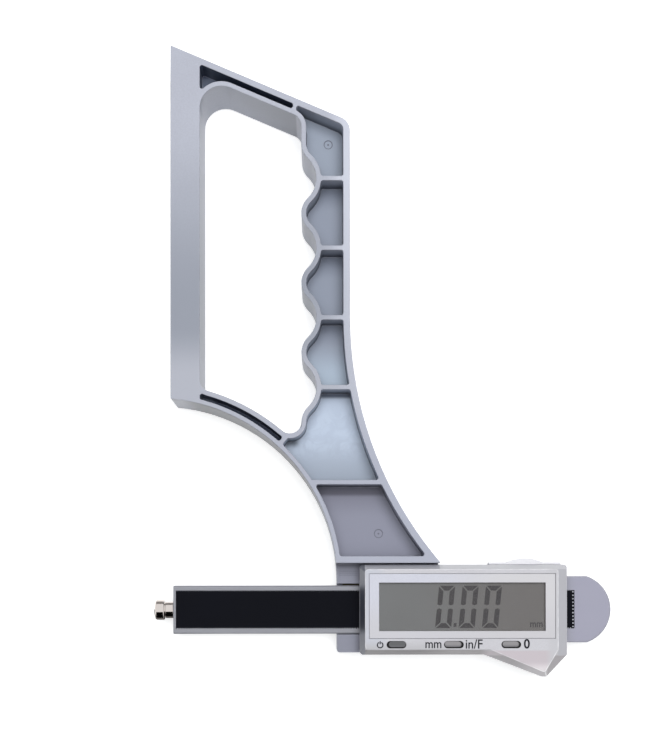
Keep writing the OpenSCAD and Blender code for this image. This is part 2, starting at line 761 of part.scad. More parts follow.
module button(i) color([0.55, 0.55, 0.57]) placed() translate(button_places[i]) {
    slab(flange_z, flange_top) oblong(button_w + 2 * flange_out, flange_h);
    slab(flange_top, front_z + button_out) oblong(button_w, button_h);
}
module power_button() button(0);
module unit_button() button(1);
module zero_button() button(2);

module button_seals() color(black) placed() for (p = button_places) translate(p)
    slab(ceiling_z - seal_t, ceiling_z) difference() {
        oblong(button_w + 2 * seal_out, flange_h);
        oblong(button_w + 2 * button_gap, button_h + button_gap);
    }

module gasket_outline() difference() {
    round_rect([module_left + gasket_in, -module_h / 2 + gasket_in],
        [module_right - gasket_in, module_h / 2 - gasket_in], module_r);
    round_rect([module_left + gasket_in + gasket_w, -module_h / 2 + gasket_in + gasket_w],
        [module_right - gasket_in - gasket_w, module_h / 2 - gasket_in - gasket_w], module_r);
}

module case_gasket() color(black) placed() slab(split_z, split_z + gasket_t) gasket_outline();

// A ring round the tray's neck: out is how far it stands from the tray's sides
module neck_band(y0, y1, out) translate([tray_x - tray_w / 2 - out, y0, tray_z - out])
    cube([tray_w + 2 * out, y1 - y0, tray_top - tray_z + 2 * out]);

module battery_tray() color(silver) placed() {
    cover_y = module_h / 2 + cover_gap;
    seal_y = module_h / 2 - seal_in - seal_band;
    difference() {
        translate([tray_x - tray_w / 2, tray_low, tray_z])
            cube([tray_w, cover_y - tray_low, tray_top - tray_z]);
        translate([tray_x, cell_y, cell_z]) cylinder(d = cell_d + 2 * cell_gap, h = cell_t + over);
        translate([tray_x, cell_y, tray_z - over])
            cylinder(d = cell_d * tray_hole_share, h = tray_floor + 2 * over);
        difference() {
            neck_band(seal_y, seal_y + seal_band, over);
            neck_band(seal_y - over, seal_y + seal_band + over, -seal_depth);
        }
    }
    translate([tray_x - cover_w / 2, cover_y, cover_z]) cube([cover_w, cover_t, cover_h]);
    intersection() {
        translate([tray_x, cover_y + cover_t + bump_h - bump_r, cover_z])
            cylinder(r = bump_r, h = cover_h);
        translate([tray_x - cover_w / 2, cover_y, cover_z]) cube([cover_w, bump_r, cover_h]);
    }
}

module battery_seal() color(black) placed() {
    seal_y = module_h / 2 - seal_in - seal_band;
    difference() {
        neck_band(seal_y, seal_y + seal_band, seal_lip);
        neck_band(seal_y - over, seal_y + seal_band + over, -seal_depth);
    }
}

module coin_cell() color(steel) placed()
    posts([[tray_x, cell_y]], cell_d, cell_z, cell_z + cell_t);

// Two leaves under the main board: one over the cell's face, one at its rim
module battery_contacts() color(brass) placed() {
    leaf_z = cell_z + cell_t + contact_gap;
    rim_y = cell_y - cell_d / 2 - contact_gap - contact_t;
    slab(leaf_z, leaf_z + contact_t) mid_rect([tray_x, cell_y], [contact_w, contact_len]);
    slab(leaf_z, split_z)
        mid_rect([tray_x, cell_y - (contact_len - contact_t) / 2], [contact_w, contact_t]);
    slab(cell_z + contact_gap, split_z) mid_rect([tray_x, rim_y + contact_t / 2],
        [contact_w, contact_t]);
}

// A screw that stands with its head down, with a six-sided socket in the head
module screw(d, head_d, head_h, len) difference() {
    union() {
        cylinder(d = head_d, h = head_h);
        cylinder(d = d, h = len);
    }
    translate([0, 0, -over]) cylinder(d = socket_d * head_d / screw_head_d,
        h = over + head_h * socket_share, $fn = 6);
}

module base_screws() color(steel) placed() for (p = screw_places)
    translate([p[0], p[1], slide_gap])
        screw(screw_d, screw_head_d, screw_head_h, split_z + screw_bite - 2 * slide_gap);

module case_screws() color(steel) placed() for (p = case_screw_places)
    translate([p[0], p[1], base_t])
        screw(screw_d, screw_head_d, screw_head_h, split_z - base_t + screw_bite - slide_gap);

module board_screws() color(steel) placed() for (p = post_places)
    translate([p[0], p[1], split_z - board_head_h])
        screw(board_screw_d, board_head_d, board_head_h, board_head_h + board_t
            + screw_bite / 2 - slide_gap);

handle_frame();
gib_leaf();
beam();
scale_strip();
nose_bush();
contact_point();
rear_shell();
front_shell();
bezel_plate();
window_lens();
lcd_glass();
lcd_holder();
zebra_strips();
main_board();
board_parts();
sensor_board();
board_link();
tact_switches();
power_plunger();
unit_plunger();
zero_plunger();
power_button();
unit_button();
zero_button();
button_seals();
case_gasket();
battery_tray();
battery_seal();
coin_cell();
battery_contacts();
base_screws();
case_screws();
board_screws();
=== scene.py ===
"""Looks of the digital depth gauge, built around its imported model.

The gauge lies on its back: X runs along the slide, Y up the handle and Z out of the display. Sizes
in the classes are millimetres of the gauge's own drawing, whose origin is where the reference face
meets the slide's middle line. in_frame turns them into the frame's metres.
"""

import json
import logging
import math
from collections.abc import Callable
from dataclasses import dataclass, field
from enum import Enum
from typing import ClassVar

import bmesh
import bpy
import numpy as np
from mathutils import Euler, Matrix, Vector
from mathutils.bvhtree import BVHTree

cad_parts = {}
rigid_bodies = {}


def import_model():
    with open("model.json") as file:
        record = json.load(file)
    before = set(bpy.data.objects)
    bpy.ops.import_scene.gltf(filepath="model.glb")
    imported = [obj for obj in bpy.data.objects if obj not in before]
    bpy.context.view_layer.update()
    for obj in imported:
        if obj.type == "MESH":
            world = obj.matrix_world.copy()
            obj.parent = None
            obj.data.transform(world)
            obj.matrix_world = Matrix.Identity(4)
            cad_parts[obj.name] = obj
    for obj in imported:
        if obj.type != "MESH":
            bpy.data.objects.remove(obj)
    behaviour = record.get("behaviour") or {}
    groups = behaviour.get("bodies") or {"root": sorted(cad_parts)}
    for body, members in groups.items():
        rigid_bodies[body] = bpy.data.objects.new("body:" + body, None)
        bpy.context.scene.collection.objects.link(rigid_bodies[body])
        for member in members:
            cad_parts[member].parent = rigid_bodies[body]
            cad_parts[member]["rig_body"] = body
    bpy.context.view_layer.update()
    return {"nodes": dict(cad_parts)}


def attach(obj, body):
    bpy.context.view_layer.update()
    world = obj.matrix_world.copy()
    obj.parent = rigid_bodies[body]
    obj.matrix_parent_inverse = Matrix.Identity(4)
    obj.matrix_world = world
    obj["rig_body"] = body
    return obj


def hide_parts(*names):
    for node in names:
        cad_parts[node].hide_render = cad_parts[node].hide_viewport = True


LOG = logging.getLogger("depth_gauge")
MM = 0.001
ORIGIN = np.array([69.05, 80.75, 0.0])
CORNERS = np.array([[-1, -1], [1, -1], [1, 1], [-1, 1]])
ONE_FACE = np.array([[0, 1, 2, 3]])
WHITE = (1.0, 1.0, 1.0, 1.0)
BLACK = (0.0, 0.0, 0.0, 1.0)

Colour = tuple[float, float, float]
Pair = tuple[float, float]
Socket = bpy.types.NodeSocket
Sockets = bpy.types.bpy_prop_collection
Value = Socket | float | tuple
Rule = Callable[[np.ndarray], np.ndarray]


class Body(Enum):
    """The bodies that pieces ride on."""

    FRAME = "frame"
    SLIDE = "slide_beam"


class Slot(Enum):
    """The record's material slots, which the calls for new pieces name."""

    HANDLE = "handle_plastic"
    STRIP = "strip_black"
    DISPLAY = "display_grey"


class Axis(Enum):
    """The gauge's axes, each with its place in a point."""

    X = 0
    Y = 1
    Z = 2


class Mark(Enum):
    """The marks that a mesh carries as point attributes, 1 where a tint, mostly painted light and
    shade, or rubbed edges with their painted highlight may lie.
    """

    # The rounding: rubbed edges with a painted highlight on them.
    EDGE = "worn_edge"
    # The marks below bound painted light and shade on the handle.
    SLOT = "deep_slot"
    FOOT = "cell_foot"
    HOLLOW = "hollow_wall"
    GRIP = "grip_wall"


X, Y, Z = Axis


def linear(colour: Colour) -> tuple[float, float, float, float]:
    """Turns an 8-bit screen colour into linear light.

    Formula: (v / 255 + 0.055) / 1.055, to the power of 2.4, for each channel.

    Args:
        colour: red, green and blue from 0 to 255.

    Returns:
        The colour with an alpha of 1, as the shader's sockets take it.
    """
    values = ((np.array(colour, float) / 255 + 0.055) / 1.055) ** 2.4
    return (*values.tolist(), 1.0)


def in_frame(points: np.ndarray) -> np.ndarray:
    """Turns drawing millimetres into the frame's metres: (point - origin) times 0.001."""
    return (points - ORIGIN) * MM


def in_drawing(points: np.ndarray) -> np.ndarray:
    """Turns the frame's metres into drawing millimetres: point over 0.001, plus origin."""
    return points / MM + ORIGIN


def placed(name: str, data: bpy.types.ID) -> bpy.types.Object:
    """Makes an object at the origin and links it to the scene.

    Args:
        name: its name.
        data: its mesh, curve, lamp or camera data.

    Returns:
        The object.
    """
    made = bpy.data.objects.new(name, data)
    bpy.context.scene.collection.objects.link(made)
    return made


@dataclass
class Surface:
    """Points and the faces between them.

    Attributes:
        MERGE: distance in metres within which points are one.
        SHARP_TURN: edges of a round shape that turn by more degrees than this stay sharp.
        points: array (points, 3) in drawing millimetres.
        faces: arrays (faces, corners) of point numbers, each of faces with as many corners.
    """

    MERGE: ClassVar[float] = 1e-7
    SHARP_TURN: ClassVar[float] = 35.0

    points: np.ndarray
    faces: list[np.ndarray]

    @staticmethod
    def joined(*parts: "Surface") -> "Surface":
        """Puts several surfaces into one.

        Args:
            parts: the surfaces, whose face numbers are moved on by the points before them.

        Returns:
            One surface with all their points and faces.
        """
        starts = np.cumsum([0] + [len(part.points) for part in parts])
        faces = [array + start for part, start in zip(parts, starts) for array in part.faces]
        return Surface(np.concatenate([part.points for part in parts]), faces)

    def make(self, name: str, smooth: bool = False) -> bpy.types.Object:
        """Makes the Blender object, at the origin, with its place in its mesh.

        Args:
            name: the piece's name.
            smooth: True for a round shape, whose faces shade into each other.

        Returns:
            The object, linked to the scene.
        """
        mesh = bpy.data.meshes.new(name)
        faces = [face for array in self.faces for face in array.tolist()]
        mesh.from_pydata(in_frame(self.points).tolist(), [], faces)
        shell = bmesh.new()
        shell.from_mesh(mesh)
        bmesh.ops.remove_doubles(shell, verts=shell.verts, dist=self.MERGE)
        bmesh.ops.recalc_face_normals(shell, faces=shell.faces)
        shell.to_mesh(mesh)
        shell.free()
        mesh.polygons.foreach_set("use_smooth", np.full(len(mesh.polygons), smooth))
        if smooth:
            mesh.set_sharp_from_angle(angle=math.radians(self.SHARP_TURN))
        return placed(name, mesh)


def prisms(outlines: np.ndarray, low: float, high: float) -> Surface:
    """Raises flat outlines into plates.

    Formula: each outline stands once at the low and once at the high level. Corner i joins corner
    i + 1 of both levels in a wall, and each level is closed by one face.

    Args:
        outlines: array (plates, corners, 2) of X and Y, anticlockwise.
        low: level of the plates' backs.
        high: level of their fronts.

    Returns:
        One surface with all the plates.
    """
    count, corners, _ = outlines.shape
    levels = np.array([low, high])
    points = np.zeros((count, 2, corners, 3))
    points[..., :2] = outlines[:, None]
    points[..., 2] = levels[None, :, None]
    index = np.arange(count * 2 * corners).reshape(count, 2, corners)
    back, front = index[:, 0], index[:, 1]
    walls = np.stack([back, np.roll(back, -1, 1), np.roll(front, -1, 1), front], -1)
    return Surface(points.reshape(-1, 3), [back[:, ::-1], front, walls.reshape(-1, 4)])


def rectangles(
    middles: np.ndarray, width: float, height: float, low: float, high: float
) -> Surface:
    """Raises equal rectangles round their middles: middle plus or minus half the size.

    Args:
        middles: array (plates, 2).
        width: size along X.
        height: size along Y.
        low: level of the backs.
        high: level of the fronts.

    Returns:
        One surface with all the plates.
    """
    corners = CORNERS * (width / 2, height / 2)
    return prisms(middles[:, None] + corners[None], low, high)


def ribbon(path: np.ndarray, width: float, low: float, high: float, closed: bool) -> Surface:
    """Carries a flat rectangular section along a path.

    Formula: at each point of the path the section's two sides lie half the width to the left and
    right, across the direction from the point before to the point after.

    Args:
        path: array (points, 2) of X and Y.
        width: width of the line.
        low: level of its back.
        high: level of its front.
        closed: True where the last point runs on into the first.

    Returns:
        The line as one surface.
    """
    if closed:
        along = np.roll(path, -1, 0) - np.roll(path, 1, 0)
    else:
        along = np.gradient(path, axis=0)
    across = np.stack([-along[:, 1], along[:, 0]], 1)
    across *= width / 2 / np.linalg.norm(across, axis=1, keepdims=True)
    section = np.stack([path - across, path + across, path + across, path - across], 1)
    levels = np.broadcast_to([low, low, high, high], section.shape[:2])
    points = np.concatenate([section, levels[..., None]], 2)
    index = np.arange(points.size // 3).reshape(len(path), 4)
    after = np.roll(index, -1, 0) if closed else index[1:]
    before = index if closed else index[:-1]
    turned_before, turned_after = np.roll(before, -1, 1), np.roll(after, -1, 1)
    faces = [np.stack([before, turned_before, turned_after, after], -1).reshape(-1, 4)]
    if not closed:
        faces += [index[:1], index[-1:, ::-1]]
    return Surface(points.reshape(-1, 3), faces)


def lofted(rings: np.ndarray) -> Surface:
    """Joins rings of as many points into one closed skin.

    Formula: point i of a ring joins point i + 1 and the same two points of the next ring in a wall,
    and the first and last ring are closed by one face each.

    Args:
        rings: array (rings, corners, 3), each ring anticlockwise seen from above.

    Returns:
        The skin.
    """
    index = np.arange(rings.size // 3).reshape(rings.shape[:2])
    before, after = index[:-1], index[1:]
    walls = np.stack([before, np.roll(before, -1, 1), np.roll(after, -1, 1), after], -1)
    return Surface(rings.reshape(-1, 3), [index[:1, ::-1], index[-1:], walls.reshape(-1, 4)])


def arc(middle: Pair, radius: float, start: float, end: float, count: int) -> np.ndarray:
    """Points on a circle: middle plus radius times the cosine and sine of evenly spaced angles.

    Args:
        middle: the circle's middle.
        radius: its radius.
        start: first angle in degrees.
        end: last angle in degrees, left out where the arc closes into a circle.
        count: number of points.

    Returns:
        Array (count, 2).
    """
    angles = np.radians(np.linspace(start, end, count, endpoint=abs(end - start) < 360))
    return np.array(middle) + radius * np.stack([np.cos(angles), np.sin(angles)], 1)


def oblong(middle: Pair, width: float, height: float, count: int) -> np.ndarray:
    """Outline of an oblong with round ends.

    Formula: a circle of the height's diameter, whose right half is moved right and whose left half
    is moved left by half of width minus height.

    Args:
        middle: the oblong's middle.
        width: size along X.
        height: size along Y.
        count: number of points.

    Returns:
        Array (count, 2), anticlockwise.
    """
    angles = np.radians((np.arange(count) + 0.5) * 360 / count)
    turned = np.stack([np.cos(angles), np.sin(angles)], 1) * height / 2
    turned[:, 0] += np.sign(np.cos(angles)) * (width - height) / 2
    return np.array(middle) + turned


def drawing_points(mesh: bpy.types.Mesh) -> np.ndarray:
    """Reads the points of a mesh.

    Args:
        mesh: the mesh, in the frame's metres.

    Returns:
        Array (points, 3) in drawing millimetres.
    """
    points = np.zeros(len(mesh.vertices) * 3, np.float32)
    mesh.vertices.foreach_get("co", points)
    return in_drawing(points.reshape(-1, 3).astype(float))


@dataclass
class Legend:
    """One word or figure printed on the front.

    Attributes:
        DEPTH: depth of the letters before their box is stretched.
        FINENESS: points along each curve of a letter's outline.
        name: the piece's name.
        words: what is printed.
        middle: middle of the letters' box.
        height: height of the box.
        width: width of the box.
        bold: how far the letters' outlines are moved outwards, before the box is stretched.
    """

    DEPTH: ClassVar[float] = 0.5
    FINENESS: ClassVar[int] = 6

    name: str
    words: str
    middle: Pair
    height: float
    width: float
    bold: float = 0.012

    def make(self, low: float, thickness: float) -> bpy.types.Object:
        """Makes the word as a thin raised mesh.

        The letters' box is stretched to the legend's width and height: (point - box middle) times
        size over box size, plus the legend's middle.

        Args:
            low: level of the surface it is printed on.
            thickness: thickness of the ink.

        Returns:
            The printed word.
        """
        curve = bpy.data.curves.new(self.name, "FONT")
        curve.body = self.words
        curve.extrude = self.DEPTH
        curve.resolution_u = self.FINENESS
        curve.offset = self.bold
        holder = placed(self.name, curve)
        graph = bpy.context.evaluated_depsgraph_get()
        mesh = bpy.data.meshes.new_from_object(holder.evaluated_get(graph))
        bpy.data.objects.remove(holder)
        points = drawing_points(mesh)
        lowest, highest = points.min(0), points.max(0)
        size = np.array([self.width, self.height, thickness])
        middle = np.array([*self.middle, low + thickness / 2])
        points = (points - (lowest + highest) / 2) * size / (highest - lowest) + middle
        mesh.vertices.foreach_set("co", in_frame(points).ravel())
        mesh.update()
        return placed(self.name, mesh)


class Nodes:
    """Short calls that add and join the nodes of one tree."""

    def __init__(self, tree: bpy.types.NodeTree) -> None:
        """Keeps the tree that the calls work on."""
        self.tree = tree

    def feed(self, node: bpy.types.Node, inputs: dict[str | int, Value]) -> None:
        """Joins sockets to a node's inputs and sets plain values on them.

        Args:
            node: the node.
            inputs: for each input's name or number, a socket to join or a value to set.
        """
        for key, value in inputs.items():
            if isinstance(value, Socket):
                self.tree.links.new(value, node.inputs[key])
            else:
                node.inputs[key].default_value = value

    def add(
        self, kind: str, inputs: dict[str | int, Value] | None = None, **settings: object
    ) -> bpy.types.Node:
        """Adds a node.

        Args:
            kind: the node's type.
            inputs: what its inputs take, as feed has it.
            settings: the node's own settings.

        Returns:
            The node.
        """
        node = self.tree.nodes.new(kind)
        for name, value in settings.items():
            setattr(node, name, value)
        self.feed(node, inputs or {})
        return node

    def group(self, tree: bpy.types.NodeTree, inputs: dict[str, Value]) -> Sockets:
        """Places a shared group and gives its outputs."""
        return self.add("ShaderNodeGroup", inputs, node_tree=tree).outputs

    def mix(self, share: Value, first: Value, second: Value) -> Socket:
        """Mixes two colours by a share from 0 to 1."""
        node = self.add("ShaderNodeMix", {0: share, 6: first, 7: second}, data_type="RGBA")
        return node.outputs[2]

    def sums(self, operation: str, first: Value, second: Value = 0.0) -> Socket:
        """Works out one Math operation."""
        return self.add("ShaderNodeMath", {0: first, 1: second}, operation=operation).outputs[0]

    def stretch(
        self, value: Value, low: Value, high: Value, to_low: float = 0.0, to_high: float = 1.0
    ) -> Socket:
        """Maps a value from one range to another, smoothly and without leaving it."""
        inputs = {0: value, 1: low, 2: high, 3: to_low, 4: to_high}
        return self.add("ShaderNodeMapRange", inputs, interpolation_type="SMOOTHSTEP").outputs[0]

    def noise(
        self, place: Value, scale: Value, detail: float = 2.0, distortion: float = 0.0
    ) -> Socket:
        """Adds soft noise from 0 to 1 at a place."""
        inputs = {"Vector": place, "Scale": scale, "Detail": detail, "Distortion": distortion}
        return self.add("ShaderNodeTexNoise", inputs).outputs[0]

    def part(self, place: Value, axis: Axis) -> Socket:
        """Takes one coordinate of a place."""
        return self.add("ShaderNodeSeparateXYZ", {0: place}).outputs[axis.value]

    def marked(self, mark: Mark) -> Socket:
        """Reads a mark of the mesh."""
        return self.add("ShaderNodeAttribute", attribute_name=mark.value).outputs["Fac"]

    def bump(self, height: Value, strength: float, distance: float) -> Socket:
        """Turns a height into a normal."""
        inputs = {"Height": height, "Strength": strength, "Distance": distance}
        return self.add("ShaderNodeBump", inputs).outputs[0]


def new_material(name: str) -> tuple[bpy.types.Material, Nodes, bpy.types.Node]:
    """Starts a material.

    Args:
        name: its name.

    Returns:
        The material, the calls for its nodes, and its Principled shader.
    """
    material = bpy.data.materials.new(name)
    material.use_nodes = True
    tree = material.node_tree
    return material, Nodes(tree), tree.nodes["Principled BSDF"]


class Effects:
    """The node groups that several finishes share, each built once.

    Attributes:
        MOTTLE: noise between which the slow clouds rise.
        SPECK: fine noise between which dark specks rise.
        SPECK_DARK: how dark a speck is.
        GRAIN_DETAIL: detail of both noises.
        RUB: noise between which patches of rubbing and painted highlight rise.
        RUB_LEAST: how far an edge is rubbed and highlighted between them.
        RUB_SCALE: how close they lie.
    """

    MOTTLE: Pair = (0.35, 0.65)
    SPECK: Pair = (0.3, 0.7)
    SPECK_DARK: float = 0.06
    GRAIN_DETAIL: float = 3.0
    RUB: Pair = (0.25, 0.75)
    RUB_LEAST: float = 0.45
    RUB_SCALE: float = 420.0

    def __init__(self) -> None:
        """Builds the groups."""
        self.grain = self._grain()
        self.wear_and_sheen = self._wear_and_sheen()
        self.turned = self._turned()
        self.reach = self._reach()

    @staticmethod
    def _start(
        name: str, takes: dict[str, str], gives: dict[str, str]
    ) -> tuple[Nodes, Sockets, bpy.types.Node]:
        """Starts a group.

        Args:
            name: the group's name.
            takes: kind of each input.
            gives: kind of each output.

        Returns:
            The calls for its nodes, the sockets of its inputs, and its output node.
        """
        tree = bpy.data.node_groups.new(name, "ShaderNodeTree")
        for way, sockets in (("INPUT", takes), ("OUTPUT", gives)):
            for label, kind in sockets.items():
                tree.interface.new_socket(label, in_out=way, socket_type="NodeSocket" + kind)
        nodes = Nodes(tree)
        return nodes, nodes.add("NodeGroupInput").outputs, nodes.add("NodeGroupOutput")

    def _grain(self) -> bpy.types.NodeTree:
        """Moulded plastic's fine grain and slow clouds of colour, and the roughness with them.

        Returns:
            The group.
        """
        nodes, taken, given = self._start(
            "moulded_grain",
            {"Vector": "Vector", "Colour": "Color", "Cloud": "Color", "Cloud Share": "Float",
             "Cloud Scale": "Float", "Grain Scale": "Float", "Roughness": "Float",
             "Spread": "Float"},
            {"Colour": "Color", "Roughness": "Float", "Height": "Float"},
        )
        fine = nodes.noise(taken["Vector"], taken["Grain Scale"], self.GRAIN_DETAIL)
        slow = nodes.noise(taken["Vector"], taken["Cloud Scale"], self.GRAIN_DETAIL)
        share = nodes.sums("MULTIPLY", nodes.stretch(slow, *self.MOTTLE), taken["Cloud Share"])
        clouded = nodes.mix(share, taken["Colour"], taken["Cloud"])
        speck = nodes.stretch(fine, *self.SPECK, 0.0, self.SPECK_DARK)
        both = nodes.sums("MULTIPLY", nodes.sums("ADD", fine, slow), 0.5)
        change = nodes.sums("MULTIPLY", nodes.sums("SUBTRACT", both, 0.5), taken["Spread"])
        nodes.feed(given, {
            "Colour": nodes.mix(speck, clouded, BLACK),
            "Roughness": nodes.sums("ADD", taken["Roughness"], change),
            "Height": fine,
        })
        return nodes.tree

    def _wear_and_sheen(self) -> bpy.types.NodeTree:
        """Rubbed edges with a painted highlight: the edge mark, broken up by noise, brings in a
        second colour.

        Returns:
            The group.
        """
        nodes, taken, given = self._start(
            "edge_wear_and_sheen",
            {"Vector": "Vector", "Mark": "Float", "Colour": "Color", "Worn": "Color",
             "Amount": "Float"},
            {"Colour": "Color"},
        )
        patches = nodes.noise(taken["Vector"], self.RUB_SCALE)
        patches = nodes.stretch(patches, *self.RUB, self.RUB_LEAST, 1.0)
        share = nodes.sums("MULTIPLY", taken["Mark"], patches)
        share = nodes.sums("MULTIPLY", share, taken["Amount"])
        nodes.feed(given, {"Colour": nodes.mix(share, taken["Colour"], taken["Worn"])})
        return nodes.tree

    def _turned(self) -> bpy.types.NodeTree:
        """Fine lathe lines across one axis, as height and as a change of roughness.

        Returns:
            The group.
        """
        nodes, taken, given = self._start(
            "turned_lines",
            {"Along": "Float", "Pitch": "Float", "Roughness": "Float", "Spread": "Float"},
            {"Roughness": "Float", "Height": "Float"},
        )
        place = nodes.add("ShaderNodeCombineXYZ", {0: taken["Along"]}).outputs[0]
        lines = nodes.noise(place, nodes.sums("DIVIDE", 1.0, taken["Pitch"]))
        change = nodes.sums("MULTIPLY", nodes.sums("SUBTRACT", lines, 0.5), taken["Spread"])
        rough = nodes.sums("ADD", taken["Roughness"], change)
        nodes.feed(given, {"Roughness": rough, "Height": lines})
        return nodes.tree

    def _reach(self) -> bpy.types.NodeTree:
        """A mask that rises from 0 to 1 between two distances along an axis.

        Returns:
            The group.
        """
        nodes, taken, given = self._start(
            "soft_reach", {"Along": "Float", "Start": "Float", "End": "Float"}, {"Mask": "Float"}
        )
        nodes.feed(given, {"Mask": nodes.stretch(taken["Along"], taken["Start"], taken["End"])})
        return nodes.tree


@dataclass
class Bench:
    """What a finish is built with.

    Attributes:
        nodes: calls for the material's nodes.
        shader: its Principled shader.
        place: the object's coordinates.
        effects: the shared groups.
    """

    nodes: Nodes
    shader: bpy.types.Node
    place: Socket
    effects: Effects


@dataclass(frozen=True)
class Reach:
    """A soft range along one axis.

    Attributes:
        axis: the axis.
        start: where it is nothing, in drawing millimetres.
        end: where it is full.
    """

    axis: Axis
    start: float
    end: float

    def mask(self, bench: Bench) -> Socket:
        """Places the shared mask with this range.

        Args:
            bench: what the finish is built with.

        Returns:
            The mask.
        """
        shift = ORIGIN[self.axis.value]
        inputs = {
            "Along": bench.nodes.part(bench.place, self.axis),
            "Start": (self.start - shift) * MM,
            "End": (self.end - shift) * MM,
        }
        return bench.nodes.group(bench.effects.reach, inputs)["Mask"]


@dataclass(frozen=True)
class Tint:
    """A second colour, laid on where all its reaches are full and where its mark is 1.

    Attributes:
        PATCH_RANGE: noise between which patches rise.
        PATCH_TWIST: how far the patches are twisted.
        colour: the tint.
        reaches: the ranges that bound it.
        amount: its share where nothing holds it back.
        mark: the mark that bounds it as well.
        patches: scale of a noise that breaks it up, or 0 for an even tint.
    """

    PATCH_RANGE: ClassVar[Pair] = (0.35, 0.65)
    PATCH_TWIST: ClassVar[float] = 1.6

    colour: Colour
    reaches: tuple[Reach, ...] = ()
    amount: float = 1.0
    mark: Mark | None = None
    patches: float = 0.0

    def paint(self, bench: Bench, colour: Socket) -> Socket:
        """Lays the tint over a colour.

        Args:
            bench: what the finish is built with.
            colour: the colour below.

        Returns:
            The colour with the tint.
        """
        nodes = bench.nodes
        share: Value = self.amount
        if self.mark:
            share = nodes.sums("MULTIPLY", nodes.marked(self.mark), share)
        if self.patches:
            noise = nodes.noise(bench.place, self.patches, distortion=self.PATCH_TWIST)
            share = nodes.sums("MULTIPLY", nodes.stretch(noise, *self.PATCH_RANGE), share)
        for reach in self.reaches:
            share = nodes.sums("MULTIPLY", reach.mask(bench), share)
        return nodes.mix(share, colour, linear(self.colour))


@dataclass(frozen=True)
class Finish:
    """A material whose Principled shader each kind of finish feeds in its own way.

    Attributes:
        name: the material's name.
    """

    name: str

    def build(self, effects: Effects) -> bpy.types.Material:
        """Builds the material.

        Args:
            effects: the shared groups.

        Returns:
            The material.
        """
        material, nodes, shader = new_material(self.name)
        place = nodes.add("ShaderNodeTexCoord").outputs["Object"]
        self.feed(Bench(nodes, shader, place, effects))
        return material

    def feed(self, bench: Bench) -> None:
        """Feeds the shader from what the bench holds."""
        raise NotImplementedError


@dataclass(frozen=True)
class Moulded(Finish):
    """Moulded plastic or rubber, painted or bare, with its grain, its tints and its rubbed edges
    with their painted highlight.

    Attributes:
        colour: its own colour.
        cloud: a near colour that clouds it slowly.
        roughness: its middle roughness.
        cloud_share: how far the clouds reach their colour.
        cloud_scale: how close the clouds lie.
        grain_scale: how close the grain lies.
        spread: how far the roughness changes with both.
        relief: strength of the grain's bump.
        depth: height of the grain in metres.
        worn: colour of rubbed edges and of their painted highlight, where they show.
        wear_and_sheen: how far the rubbed edges and their painted highlight reach it.
        coat: weight of a clear coat.
        gloss: level of the mirrored light.
        tints: second colours, laid on in turn; most of them are painted light and shade.
    """

    colour: Colour
    cloud: Colour
    roughness: float
    cloud_share: float = 0.6
    cloud_scale: float = 60.0
    grain_scale: float = 1800.0
    spread: float = 0.12
    relief: float = 0.08
    depth: float = 0.0002
    worn: Colour | None = None
    wear_and_sheen: float = 0.5
    coat: float = 0.0
    gloss: float = 0.5
    tints: tuple[Tint, ...] = ()

    def feed(self, bench: Bench) -> None:
        """Feeds the shader with the grain, under the tints, under the rubbed edges and their
        painted highlight.

        Args:
            bench: what the finish is built with.
        """
        nodes, place, effects = bench.nodes, bench.place, bench.effects
        grain = nodes.group(effects.grain, {
            "Vector": place, "Colour": linear(self.colour), "Cloud": linear(self.cloud),
            "Cloud Share": self.cloud_share, "Cloud Scale": self.cloud_scale,
            "Grain Scale": self.grain_scale, "Roughness": self.roughness, "Spread": self.spread,
        })
        colour = grain["Colour"]
        for tint in self.tints:
            colour = tint.paint(bench, colour)
        if self.worn:
            colour = nodes.group(effects.wear_and_sheen, {
                "Vector": place, "Mark": nodes.marked(Mark.EDGE), "Colour": colour,
                "Worn": linear(self.worn), "Amount": self.wear_and_sheen,
            })["Colour"]
        nodes.feed(bench.shader, {
            "Base Color": colour, "Roughness": grain["Roughness"],
            "Normal": nodes.bump(grain["Height"], self.relief, self.depth),
            "Coat Weight": self.coat, "Specular IOR Level": self.gloss,
        })


@dataclass(frozen=True)
class Steel(Finish):
    """Turned or drawn metal with fine lines across one axis.

    Attributes:
        colour: the metal's colour.
        stain: a near colour in soft patches.
        roughness: its middle roughness.
        axis: the axis that the lines lie across.
        pitch: distance between lines in millimetres.
        spread: how far the roughness changes with them.
        relief: strength of the lines' bump.
        depth: height of the lines in metres.
        stain_scale: how close the patches lie.
        stain_range: noise between which the patches rise.
        stain_share: how far they reach their colour.
    """

    colour: Colour
    stain: Colour
    roughness: float
    axis: Axis = X
    pitch: float = 0.08
    spread: float = 0.12
    relief: float = 0.05
    depth: float = 0.00005
    stain_scale: float = 260.0
    stain_range: Pair = (0.45, 0.8)
    stain_share: float = 0.6

    def feed(self, bench: Bench) -> None:
        """Feeds the shader with lathe lines over a slightly stained metal.

        Args:
            bench: what the finish is built with.
        """
        nodes, place = bench.nodes, bench.place
        lines = nodes.group(bench.effects.turned, {
            "Along": nodes.part(place, self.axis), "Pitch": self.pitch * MM,
            "Roughness": self.roughness, "Spread": self.spread,
        })
        patches = nodes.noise(place, self.stain_scale)
        share = nodes.stretch(patches, *self.stain_range, 0.0, self.stain_share)
        nodes.feed(bench.shader, {
            "Base Color": nodes.mix(share, linear(self.colour), linear(self.stain)),
            "Roughness": lines["Roughness"],
            "Normal": nodes.bump(lines["Height"], self.relief, self.depth),
            "Metallic": 1.0,
        })


